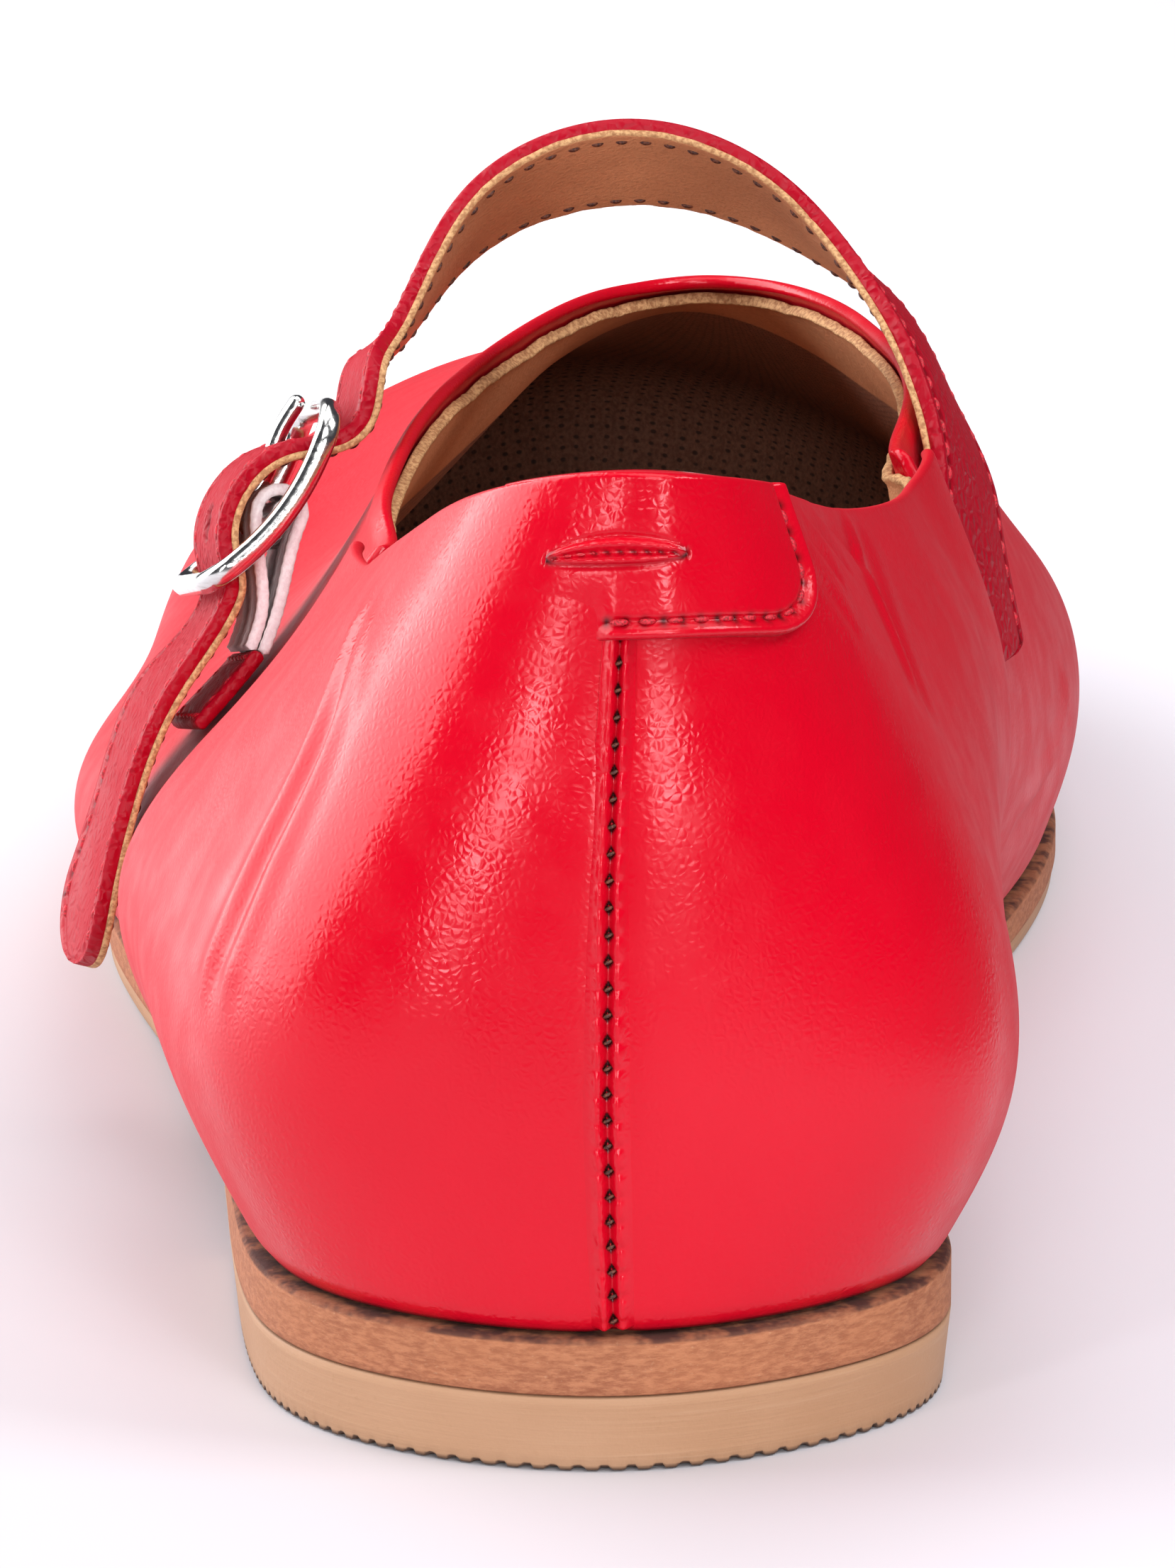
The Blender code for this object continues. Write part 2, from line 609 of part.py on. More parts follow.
# ---------------------------------------------------------------- strap
# The strap's two long edges from the medial base over the instep; the last rows
# of the table follow the buckle and are given by their distances from its bar.
INSTEP_STRAP = (
    # place            rear edge x, y, z       front edge x, y, z
    ("base end",       34.4,  91.5, 38.6,      36.2, 106.5, 36.0),
    ("base middle",    33.2,  94.0, 46.6,      34.6, 108.8, 43.6),
    ("base top",       31.0,  98.5, 54.4,      32.6, 112.6, 50.4),
    ("leaves upper",   27.9, 105.0, 62.8,      29.2, 118.8, 58.4),
    ("medial side",    24.3, 112.0, 68.1,      25.2, 126.0, 62.8),
    ("medial rise",    19.0, 117.6, 73.2,      19.4, 130.2, 66.4),
    ("instep",          6.6, 119.6, 78.0,       7.0, 131.6, 69.4),
    ("lateral rise",   -6.6, 117.0, 73.4,      -6.6, 129.4, 65.3),
    ("lateral side",   -9.9, 113.4, 69.6,     -10.3, 126.8, 61.8),
    ("lateral drop",  -13.3, 107.0, 64.4,     -14.2, 121.4, 58.6),
)
BUCKLE_STRAP = (
    # place             down    out
    ("above buckle",   -13.4,   0.5),
    ("upper bar",       -9.4,  -1.0),
    ("past upper bar",  -7.0,   0.0),
    ("rises",           -5.0,   2.0),
    ("over the bar",    -2.4,   3.5),
    ("top of bulge",     0.6,   3.8),
    ("comes down",       3.6,   2.9),
    ("goes under",       5.6,   1.2),
    ("at lower bar",     6.9,  -0.3),
    ("lower bar",        9.4,  -1.2),
)
TAIL_STRAP = (
    # place            rear edge x, y, z       front edge x, y, z
    ("tail starts",   -31.4,  90.4, 38.2,     -34.0, 105.4, 35.0),
    ("tail middle",   -34.2,  87.2, 28.8,     -37.6, 102.2, 27.0),
    ("tail end",      -38.0,  84.5, 14.8,     -42.1,  99.5, 14.5),
)
BASE_SHARE = 0.12         # share of the strap that lies sewn on the upper
TAIL_POINT = 5.0          # length of the pointed tip
USED_HOLE_TO_NEXT = 9.0
HOLE_RADIUS = 1.0


def strap_edges():
    """Rows of rear and front edge points, from base to tip."""
    half = STRAP_WIDTH / 2
    rows = [row[1:] for row in INSTEP_STRAP]
    for _, down, out in BUCKLE_STRAP:
        rows.append((*at_buckle(down, out, -half), *at_buckle(down, out, half)))
    rows += [row[1:] for row in TAIL_STRAP]
    return np.array(rows, float)


def strap_middle(share, across):
    """Middle surface of the strap: share from base to tip, across from -1 rear to 1 front."""
    edges = open_spline(strap_edges(), share)
    centre = (edges[:, :3] + edges[:, 3:]) / 2
    toward = unit(edges[:, 3:] - edges[:, :3])
    return centre[:, None] + toward[:, None] * (across * STRAP_WIDTH / 2)[..., None]


def soften(values, reach):
    """Even out values along the rows of a grid with a bell of half width `reach` rows."""
    steps = np.arange(-3 * reach, 3 * reach + 1)
    weights = np.exp(-(steps / reach) ** 2)
    padded = np.pad(values, [(3 * reach, 3 * reach)] + [(0, 0)] * (values.ndim - 1), mode="edge")
    return sum(w * padded[k:k + len(values)] for k, w in enumerate(weights)) / weights.sum()


def settle(points, tree, least, most=None, reach=0):
    """Move points along the nearest outward normal to stand least..most off the upper.

    With no `most`, points that already lie clear of it stay where they are.  With a
    `reach`, neighbouring rows share the widest move near them, so the sheet stays even.
    """
    push = np.zeros(points.shape[:-1])
    way = np.zeros(points.shape)
    for index in np.ndindex(points.shape[:-1]):
        where, normal, _, distance = tree.find_nearest(tuple(points[index]))
        where, normal = np.array(where), np.array(normal)
        height = (points[index] - where) @ normal
        way[index] = normal
        if most is None:
            push[index] = max(least - height, 0) * (1 - smooth(1.5 * least, 3 * least, distance))
        else:
            push[index] = np.clip(height, least, most) - height
    if reach:
        if most is None:
            rows = np.pad(push, [(reach, reach), (0, 0)])
            push = np.max([rows[k:k + len(push)] for k in range(2 * reach + 1)], axis=0)
        push = soften(push, reach)
        way = unit(soften(way, reach))
    return points + way * push[..., None]


def upper_tree():
    """Search tree of the upper's outside, on the grid that its mesh has."""
    around, rise = upper_grid()
    outside = skin(around, rise, lap_step(around, rise))
    quads = grid_faces(*around.shape, closed_columns=True)
    return BVHTree.FromPolygons([tuple(p) for p in outside.reshape(-1, 3)], quads)


STRAP_STATIONS = 84
BASE_CLEAR = 0.6          # the sewn base stands this far off the upper
BASE_BLEND = 0.04         # share of the strap over which it leaves the upper
STRAP_EVEN = 3            # rows over which a move off the upper is spread


def strap_sheet(tree):
    """Middle points and normals of the strap, its base settled on the upper."""
    share = np.linspace(0, 1, STRAP_STATIONS)
    length = np.linalg.norm(np.diff(open_spline(strap_edges(), share)[:, :3], axis=0), axis=1).sum()
    left = (1 - share) * length
    taper = np.clip(0.12 + 0.88 * left / TAIL_POINT, 0, 1)
    across = np.linspace(-1, 1, 4)[None, :] * taper[:, None]
    middle = strap_middle(share, across)
    half = STRAP_THICK / 2
    base = share < BASE_SHARE + BASE_BLEND
    sewn = settle(middle[base], tree, half + BASE_CLEAR, half + BASE_CLEAR, STRAP_EVEN)
    hold = 1 - smooth(BASE_SHARE - BASE_BLEND, BASE_SHARE + BASE_BLEND, share[base])
    middle[base] += (sewn - middle[base]) * hold[:, None, None]
    middle = settle(middle, tree, half + BASE_CLEAR, reach=STRAP_EVEN)
    normal = unit(np.cross(np.gradient(middle, axis=1), np.gradient(middle, axis=0)))
    return middle, normal


def build_strap(tree):
    red = bpy.data.materials["red_leather"]
    middle, normal = strap_sheet(tree)
    half = STRAP_THICK / 2
    points, faces = slab(middle - normal * half, middle + normal * half)
    strap = add_piece("strap", points, faces, red)
    slot = add_piece("prong_cutter", *tube(prong_path(), PRONG + 0.4), red)
    combine(strap, slot, "DIFFERENCE")
    # next hole towards the tip, through the strap where it comes down
    centre = middle.mean(axis=1)
    used = np.abs((centre - BUCKLE_AT) @ DOWN + 5.0).argmin()
    run = np.append(0, np.cumsum(np.linalg.norm(np.diff(centre[used:], axis=0), axis=1)))
    spot = used + np.abs(run - USED_HOLE_TO_NEXT).argmin()
    way = normal[spot].mean(axis=0)
    drill = centre[spot] + way * np.linspace(-3, 3, 3)[:, None]
    combine(strap, add_piece("hole_cutter", *tube(drill, HOLE_RADIUS), red), "DIFFERENCE")


# ---------------------------------------------------------------- elastic and anchor
ELASTIC_WIDTH = 12.0
ELASTIC_THICK = 1.0
ELASTIC_FOOT = (9.2, -4.9)        # down and out from the centre bar, where its two layers meet
ANCHOR_LENGTH = 8.0
ANCHOR_THICK = 1.2
ANCHOR_LIFT = 0.7                 # it bridges the hollow of the fold
ANCHOR_START = 1.0                # from the end of the elastic


def build_elastic():
    """Band looped round the centre bar, both layers running down to the anchor."""
    white = leather("elastic", (0.80, 0.72, 0.72), 0.9)
    turn = np.radians(np.linspace(52, 250, 15) + 8)
    inner_radius = BAR + GAP
    foot = np.array(ELASTIC_FOOT)
    loops = []
    for radius, tuck in ((inner_radius + ELASTIC_THICK, 0.0), (inner_radius, 1.6)):
        hoop = np.column_stack([radius * np.cos(turn), radius * np.sin(turn)])
        back = unit(foot - hoop[-1])
        end = foot - back * tuck
        spread = np.array([-back[1], back[0]]) * (ELASTIC_THICK if tuck == 0 else 0.05)
        legs = np.array([end - spread, end + spread])
        loops.append(np.concatenate([hoop, legs]))
    count = len(loops[0])
    section = np.concatenate(loops)
    rows = [at_buckle(section[:, 0], section[:, 1], side * ELASTIC_WIDTH / 2) for side in (-1, 1)]
    points = np.concatenate(rows)
    faces = []
    for k in range(count):
        m = (k + 1) % count
        outer, inner, far = (k, m), (count + k, count + m), 2 * count
        faces.append((outer[0], outer[1], outer[1] + far, outer[0] + far))
        faces.append((inner[1], inner[0], inner[0] + far, inner[1] + far))
        faces.append((outer[1], outer[0], inner[0], inner[1]))
        faces.append((outer[0] + far, outer[1] + far, inner[1] + far, inner[0] + far))
    band = add_piece("elastic_loop", points, faces, white)
    # the prong's hook works in a slit in the band
    width = PRONG + 0.5
    corners = [at_buckle(d, o, a) for d in (-5.0, 4.2) for o in (-4.0, 4.0) for a in (-width, width)]
    box = [(0, 1, 3, 2), (4, 6, 7, 5), (0, 4, 5, 1), (2, 3, 7, 6), (0, 2, 6, 4), (1, 5, 7, 3)]
    combine(band, add_piece("slit_cutter", corners, box, white), "DIFFERENCE")


def build_anchor(tree):
    """Leather strip on the vamp that the elastic is sewn to."""
    red = bpy.data.materials["red_leather"]
    down = ELASTIC_FOOT[0] + ANCHOR_START + np.linspace(0, ANCHOR_LENGTH, 8)
    across = np.linspace(-1, 1, 6) * (ELASTIC_WIDTH / 2 + 1.0)
    start = at_buckle(down[:, None], ELASTIC_FOOT[1] - 0.3, across[None, :])
    lower = settle(start, tree, ANCHOR_LIFT, ANCHOR_LIFT)
    upper = settle(start, tree, ANCHOR_LIFT + ANCHOR_THICK, ANCHOR_LIFT + ANCHOR_THICK)
    points, faces = slab(lower, upper)
    add_piece("strap_anchor", points, faces, red)


# ---------------------------------------------------------------- assembly
def main():
    for old in list(bpy.data.objects):
        bpy.data.objects.remove(old, do_unlink=True)
    build_sole()
    build_upper()
    build_heel_tab()
    tree = upper_tree()
    build_buckle_frame()
    build_prong()
    build_strap(tree)
    build_elastic()
    build_anchor(tree)


main()
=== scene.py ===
"""Red leather Mary Jane flat, the left shoe of a pair.

Axes: +Y runs from heel to toe, +X is the medial side, -X the lateral side with the
buckle, +Z is up and the floor is z = 0.  Drawing is in millimetres from the heel's
rearmost line; make_piece moves it to the frame's place and turns it into metres.

Every leather piece is cut from one function of two parameters: `around` runs once
round the foot from the back seam by the lateral side, the toe and the medial side,
and `rise` runs from the sole (0) to the top edge (1).
"""
import bpy
import bmesh
import numpy as np
from math import pi
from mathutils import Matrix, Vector


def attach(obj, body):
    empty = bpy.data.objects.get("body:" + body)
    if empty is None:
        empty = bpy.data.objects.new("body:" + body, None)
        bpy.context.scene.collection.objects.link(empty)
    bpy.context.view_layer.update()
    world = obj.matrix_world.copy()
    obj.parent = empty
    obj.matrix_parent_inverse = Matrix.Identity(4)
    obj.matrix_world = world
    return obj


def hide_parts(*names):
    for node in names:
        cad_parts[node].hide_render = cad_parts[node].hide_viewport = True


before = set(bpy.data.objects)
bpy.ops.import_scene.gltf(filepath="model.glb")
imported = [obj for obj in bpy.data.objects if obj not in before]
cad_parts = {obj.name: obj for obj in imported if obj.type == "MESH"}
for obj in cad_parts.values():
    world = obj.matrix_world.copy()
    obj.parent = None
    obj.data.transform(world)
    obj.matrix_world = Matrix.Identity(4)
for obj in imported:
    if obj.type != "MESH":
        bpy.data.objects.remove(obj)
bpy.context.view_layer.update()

# ---------------- driving sizes, mm
CENTRE = np.array([2.81, 127.27, 0.0])     # middle of the frame's box
METRE = 0.001
SEAT_GAP = 0.3            # between the midsole and what stands on it
PERIMETER = 620.0         # once round the foot
HIDE = 1.1                # red leather
LINING = 0.65             # lining behind it
LINING_GAP = 0.08
LINING_LOW = 2.1          # its cut edge stays this far below the top edge
LAP_STEP = 1.2            # the quarters' front edges stand this far over the vamp
LAP_FADE = 26.0           # and come down to the last over this distance
UNDERLAP = 6.0            # the vamp runs this far on under the quarters

# Heights along the sole: y, underside, joint of rubber and board, seat of the upper.
SOLE_PROFILE = np.array((
    (-2.0, 0.0, 6.3, 10.7),      # heel back
    (56.0, 4.3, 6.1, 10.3),      # heel front
    (92.0, 2.3, 4.2, 7.4),       # waist
    (128.0, 0.0, 1.9, 4.7),      # ball
    (184.0, 0.0, 1.9, 4.4),
    (220.0, 1.8, 3.6, 6.1),      # toe bend
    (258.0, 7.2, 9.0, 11.4),
))
UNDER, JOINT, SEAT = 1, 2, 3     # its columns

# Sections of the upper, one row for each place round the foot: foot x, y; belly out, up;
# shoulder's share of the way to the top and how far it stands out; top edge x, y, z.
SECTIONS = (
    ("back seam", 1.0, 1.0, 2.0, 17.0, 0.55, 0.8, 3.0, 3.6, 78.8),
    ("back lateral", -17.0, 7.4, 4.0, 16.0, 0.55, 1.6, -6.5, 8.6, 76.9),
    ("heel lateral", -26.6, 28.0, 6.4, 16.0, 0.55, 2.2, -13.0, 28.0, 69.0),
    ("quarter lateral", -27.6, 58.0, 8.0, 16.0, 0.55, 2.0, -16.0, 48.0, 61.0),
    ("waist lateral", -29.4, 90.0, 6.4, 13.0, 0.52, 0.8, -16.9, 69.0, 55.2),
    ("joint lateral", -33.4, 122.0, 5.4, 9.5, 0.50, -0.6, -13.4, 98.0, 56.6),
    ("ball lateral", -36.2, 152.0, 3.0, 7.0, 0.46, -1.4, -7.0, 128.0, 56.0),
    ("toe lateral", -30.4, 190.0, 2.6, 6.5, 0.38, 0.4, 2.5, 152.0, 55.4),
    ("corner lateral", -20.6, 229.0, 2.4, 8.5, 0.27, 2.6, 8.6, 161.0, 54.6),
    ("toe tip", 6.8, 253.6, 2.2, 9.5, 0.20, 3.4, 14.0, 163.5, 54.4),
    ("corner medial", 33.4, 231.0, 2.4, 8.5, 0.27, 2.8, 19.5, 160.0, 55.0),
    ("toe medial", 41.8, 203.0, 2.6, 8.0, 0.38, 1.6, 24.6, 148.5, 56.2),
    ("ball medial", 44.2, 169.0, 2.4, 9.0, 0.48, 2.6, 28.0, 130.0, 57.6),
    ("joint medial", 36.4, 132.0, 5.8, 13.0, 0.52, 1.9, 29.4, 110.0, 58.6),
    ("waist medial", 26.5, 100.0, 8.4, 16.5, 0.52, 3.0, 28.5, 87.0, 57.9),
    ("quarter medial", 23.2, 66.0, 9.2, 16.0, 0.52, 4.4, 25.0, 62.0, 61.2),
    ("heel medial", 26.6, 32.0, 5.8, 12.0, 0.52, 3.6, 18.2, 34.0, 68.2),
    ("back medial", 19.2, 9.0, 4.6, 15.0, 0.55, 1.8, 11.2, 9.6, 76.4),
)
TABLE = np.array([row[1:] for row in SECTIONS], float)
FOOT, TOP = [0, 1], [6, 7, 8]      # columns of TABLE

# Front edges of the quarters, lateral and medial, where they overlap the vamp: at the top
# edge and at the sole a section and the share of the way to the next one (back if negative).
LAP_EDGES = (
    ("waist lateral", 0.15, "quarter lateral", 0.30),
    ("waist medial", -0.15, "quarter medial", -0.30),
)

# Soft folds in the vamp just in front of those edges: mm ahead of the edge, half width
# toward the heel and toward the toe, depth, where they start and are deepest up the
# wall, and the share that is left at the top edge.
FOLDS = (
    (6.5, 4.5, 9.0, 4.2, 0.35, 0.75, 0.40),
    (6.5, 4.5, 16.0, 4.2, 0.30, 0.72, 0.45),
)


# ---------------- curve helpers
def monotone(knots, values, at):
    """Cubic through the knots that never overshoots, flat where two values agree."""
    step = np.diff(knots)
    slope = np.diff(values) / step
    tangent = np.zeros(len(knots))
    tangent[[0, -1]] = slope[[0, -1]]
    for i in range(1, len(step)):
        if slope[i - 1] * slope[i] > 0:
            near, far = 2 * step[i] + step[i - 1], step[i] + 2 * step[i - 1]
            tangent[i] = (near + far) / (near / slope[i - 1] + far / slope[i])
    at = np.clip(at, knots[0], knots[-1])
    i = np.clip(np.searchsorted(knots, at, side="right") - 1, 0, len(step) - 1)
    u = (at - knots[i]) / step[i]
    return ((1 + 2 * u) * (1 - u) ** 2 * values[i] + u * (1 - u) ** 2 * step[i] * tangent[i]
            + u * u * (3 - 2 * u) * values[i + 1] + u * u * (u - 1) * step[i] * tangent[i + 1])


def cubic(b, width, first, second, first_bend, second_bend):
    """Cubic a share `b` of the way between two points that know their bends."""
    a = 1 - b
    return (a * first + b * second
            + ((a ** 3 - a) * first_bend + (b ** 3 - b) * second_bend) * width ** 2 / 6)


def spline(knots, rows, at, closed=False):
    """Smooth cubic through `rows` at `knots`; a closed one runs once over 0 to 1."""
    count = len(knots)
    step = np.diff(np.append(knots, knots[0] + 1.0))
    system, right = np.eye(count) * (not closed), np.zeros(rows.shape)
    for i in range(count) if closed else range(1, count - 1):
        after = (i + 1) % count
        system[i, [i - 1, i, after]] = step[i - 1], 2 * (step[i - 1] + step[i]), step[i]
        right[i] = 6 * ((rows[after] - rows[i]) / step[i] - (rows[i] - rows[i - 1]) / step[i - 1])
    bend = np.linalg.solve(system, right)
    i = np.clip(np.searchsorted(knots, at, side="right") - 1, 0, count - (1 if closed else 2))
    j = (i + 1) % count
    width = step[i][..., None]
    return cubic((at - knots[i])[..., None] / width, width, rows[i], rows[j], bend[i], bend[j])


def run_of(path):
    """Distance run along a path at each of its points."""
    return np.append(0, np.cumsum(np.linalg.norm(np.diff(path, axis=0), axis=1)))


def open_spline(rows, at):
    """Smooth open cubic through `rows`, spaced by their distance, for `at` in 0 to 1."""
    rows = np.asarray(rows, float)
    run = run_of(rows)
    return spline(run / run[-1], rows, at)


def smooth(low, high, value):
    """0 below `low`, 1 above `high`, and a soft S between."""
    u = np.clip((value - low) / (high - low), 0, 1)
    return u * u * (3 - 2 * u)


def rounded(inside, power=2):
    """0 at an edge and 1 from one unit inside it, rising like a quarter circle."""
    return np.sqrt(np.clip(1 - (1 - np.clip(inside, 0, 1)) ** power, 0, 1))


def bump(value, centre, width):
    """Round hill of height 1 at `centre`."""
    return np.exp(-((value - centre) / width) ** 2)


def unit(vectors):
    return vectors / np.linalg.norm(vectors, axis=-1, keepdims=True)


def off(point, normal, distance):
    """Points moved along their normals."""
    return point + normal * distance[..., None]


def grid_normal(grid):
    """Unit normals of a grid of points, from its two directions."""
    return unit(np.cross(np.gradient(grid, axis=1), np.gradient(grid, axis=0)))


def uneven(along, seed, pitch):
    """Hand-made irregularity from -1 to 1: a sum of five sine waves round `pitch` mm."""
    total = 0.0
    for k, stretch in enumerate((0.37, 0.61, 1.0, 1.73, 2.9)):
        phase = 12.9898 * (seed + 1) * (k + 1)
        total = total + np.sin(2 * pi * along * stretch / pitch + phase) / (1 + 0.35 * k)
    return total / 3.2


# ---------------- the last
def section_places():
    """Where each section lies round the foot, by mean distance along sole and top edge."""
    places = 0
    for columns in (FOOT, TOP):
        run = run_of(np.concatenate([TABLE, TABLE[:1]])[:, columns])
        places = places + run[:-1] / run[-1] / 2
    return places


PLACES = section_places()


def sole_height(column, y):
    """Height of one line of SOLE_PROFILE."""
    return monotone(SOLE_PROFILE[:, 0], SOLE_PROFILE[:, column], y)


def foot_line(around):
    """The line where the upper meets the sole, seen from above, and its outward normal."""
    nudge = 0.0005
    before, here, after = (spline(PLACES, TABLE[:, FOOT], np.mod(around + step, 1.0), True)
                           for step in (-nudge, 0, nudge))
    ahead = after - before
    return here, unit(np.stack([-ahead[..., 1], ahead[..., 0]], axis=-1))


def last(around, rise):
    """Smooth form of the upper: a cubic through foot, belly, shoulder and top edge."""
    here, outward = foot_line(around)
    values = spline(PLACES, TABLE, np.mod(around, 1.0), True)
    seat = sole_height(SEAT, here[..., 1])[..., None] + SEAT_GAP
    outward = np.concatenate([outward, 0 * seat], axis=-1)
    upright = np.array([0, 0, 1.0])
    foot = np.concatenate([here, seat], axis=-1)
    belly = foot + outward * values[..., 2:3] + upright * values[..., 3:4]
    top = values[..., TOP]
    along = unit(top - belly)
    bulge = outward + upright
    bulge = unit(bulge - (bulge * along).sum(-1, keepdims=True) * along)
    shoulder = belly + (top - belly) * values[..., 4:5] + bulge * values[..., 5:6]
    points = [foot, belly, shoulder, top]
    chord = [np.linalg.norm(b - a, axis=-1, keepdims=True) for a, b in zip(points, points[1:])]
    slope = [(b - a) / h for a, b, h in zip(points, points[1:], chord)]
    right = 6 * (slope[1] - slope[0]), 6 * (slope[2] - slope[1])
    p, q, r = 2 * (chord[0] + chord[1]), chord[1], 2 * (chord[1] + chord[2])
    bend = [0, (r * right[0] - q * right[1]) / (p * r - q * q),
            (p * right[1] - q * right[0]) / (p * r - q * q), 0]
    distance = rise[..., None] * sum(chord)
    for i in range(3):
        b = distance / chord[i]
        piece = cubic(b, chord[i], points[i], points[i + 1], bend[i], bend[i + 1])
        result = np.where(b >= 0, piece, result) if i else piece
        distance = distance - chord[i]
    return result


def wall_height(around):
    """Length of the wall from the sole to the top edge, in mm, at each place."""
    around, rise = np.broadcast_arrays(np.asarray(around, float)[..., None], np.linspace(0, 1, 30))
    return np.linalg.norm(np.diff(last(around, rise), axis=-2), axis=-1).sum(-1)


def frame_of(around, rise):
    """Point of the last, its outward unit normal and its upward unit tangent."""
    nudge = 0.001
    held = np.clip(rise, nudge, 1 - nudge)
    upward = unit(last(around, held + nudge) - last(around, held - nudge))
    normal = np.cross(last(around + nudge, rise) - last(around - nudge, rise), upward)
    return last(around, rise), -unit(normal), upward


def spot(round_mm, up_mm):
    """around and rise of a place given in mm."""
    around = np.mod(round_mm / PERIMETER, 1.0)
    return around, np.clip(up_mm / wall_height(around), 0, 1)


def lap_edge(side, rise):
    """Place round the foot of the quarter's front edge, at each rise."""
    names = [row[0] for row in SECTIONS]
    top, top_share, foot, foot_share = LAP_EDGES[side]
    ends = []
    for i, share in ((names.index(foot), foot_share), (names.index(top), top_share)):
        neighbour = PLACES[i + 1] if share > 0 else PLACES[i - 1]
        ends.append(PLACES[i] + (neighbour - PLACES[i]) * abs(share))
    return ends[0] + (ends[1] - ends[0]) * np.clip(rise, 0, 1) ** 1.3


def behind_lap(around, rise):
    """Distance in mm behind the quarters' front edges, negative ahead of them."""
    around = np.mod(around, 1.0)
    return np.maximum(lap_edge(0, rise) - around, around - lap_edge(1, rise)) * PERIMETER


def lap_step(around, rise):
    """Height of the quarters over the vamp, full at their front edges, fading to the heel."""
    back = behind_lap(around, rise)
    return np.where(back >= -0.5, LAP_STEP * (1 - smooth(2.0, LAP_FADE, back)), 0.0)


def fold_depth(around, rise):
    """How far the soft folds sink the wall: a bell across, steeper toward the heel."""
    depth = np.zeros(np.broadcast(around, rise).shape)
    for side, (ahead, heel_side, toe_side, deep, start, deepest, left) in enumerate(FOLDS):
        across = (np.mod(around, 1.0) - lap_edge(side, rise)) * (1 - 2 * side) * PERIMETER - ahead
        across = across / np.where(across < 0, heel_side, toe_side)
        fade = smooth(start, deepest, rise) * (1 - (1 - left) * smooth(deepest, 1.0, rise))
        depth += deep * bump(across, 0, 1) * fade
    return depth


# ---------------- meshes
def make_piece(name, grid, finish, node_names=(), wrap_rows=False,
               wrap_columns=True, marks=None, uv=None, more=(), more_wrap=True, more_mark=()):
    """One closed mesh from a grid of points, rows by columns, and further grids.

    Edges of a grid that fall together, such as a collapsed end, are merged.  `marks`
    are numbers painted on the points for the finish, and `more_mark` the one number of
    each further grid; `uv` runs in mm on the first grid.
    """
    points, quads, start = [], [], 0
    closed = [(wrap_rows, wrap_columns)] + [(False, more_wrap)] * len(more)
    for part, (closed_rows, closed_columns) in zip([grid, *more], closed):
        rows, columns = part.shape[:2]
        i = np.arange(rows if closed_rows else rows - 1)[:, None]
        j = np.arange(columns if closed_columns else columns - 1)[None, :]
        below, beside = (i + 1) % rows, (j + 1) % columns
        cells = np.stack(np.broadcast_arrays(i * columns + j, below * columns + j,
                                             below * columns + beside, i * columns + beside), -1)
        quads.append(cells.reshape(-1, 4) + start)
        points.append((part.reshape(-1, 3) - CENTRE) * METRE)
        start += rows * columns
    quads = np.concatenate(quads)
    mesh = bpy.data.meshes.new(name)
    mesh.from_pydata(np.concatenate(points), [], quads)
    for label, values in (marks or {}).items():
        values = [np.broadcast_to(values, grid.shape[:2]).ravel()]
        values += [np.full(part[..., 0].size, mark) for part, mark in zip(more, more_mark)]
        layer = mesh.attributes.new(label, "FLOAT", "POINT")
        layer.data.foreach_set("value", np.concatenate(values).astype(np.float32))
    if uv is not None:
        layer = mesh.uv_layers.new(name="run")
        flat = uv.reshape(-1, 2)[quads.ravel()] * METRE
        layer.data.foreach_set("uv", flat.astype(np.float32).ravel())
    work = bmesh.new()
    work.from_mesh(mesh)
    bmesh.ops.remove_doubles(work, verts=work.verts, dist=3e-6)
    bmesh.ops.recalc_face_normals(work, faces=work.faces)
    work.to_mesh(mesh)
    work.free()
    mesh.materials.append(finish)
    mesh.shade_smooth()
    piece = bpy.data.objects.new(name, mesh)
    bpy.context.scene.collection.objects.link(piece)
    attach(piece, "root")
    if node_names:
        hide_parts(*node_names)


def sheet(name, front, back, finish, nodes=(), marks=None, uv=None):
    """Closed piece from two matching grids, up the front and down the back.  Each mark is a
    pair, for the front and for the back; `uv` is the same on both."""
    marks = {label: np.concatenate([one, np.broadcast_to(other, one.shape)[::-1]])
             for label, (one, other) in (marks or {}).items()}
    if uv is not None:
        uv = np.concatenate([uv, uv[::-1]])
    make_piece(name, np.concatenate([front, back[::-1]]), finish, nodes, wrap_rows=True,
               wrap_columns=False, marks=marks, uv=uv)


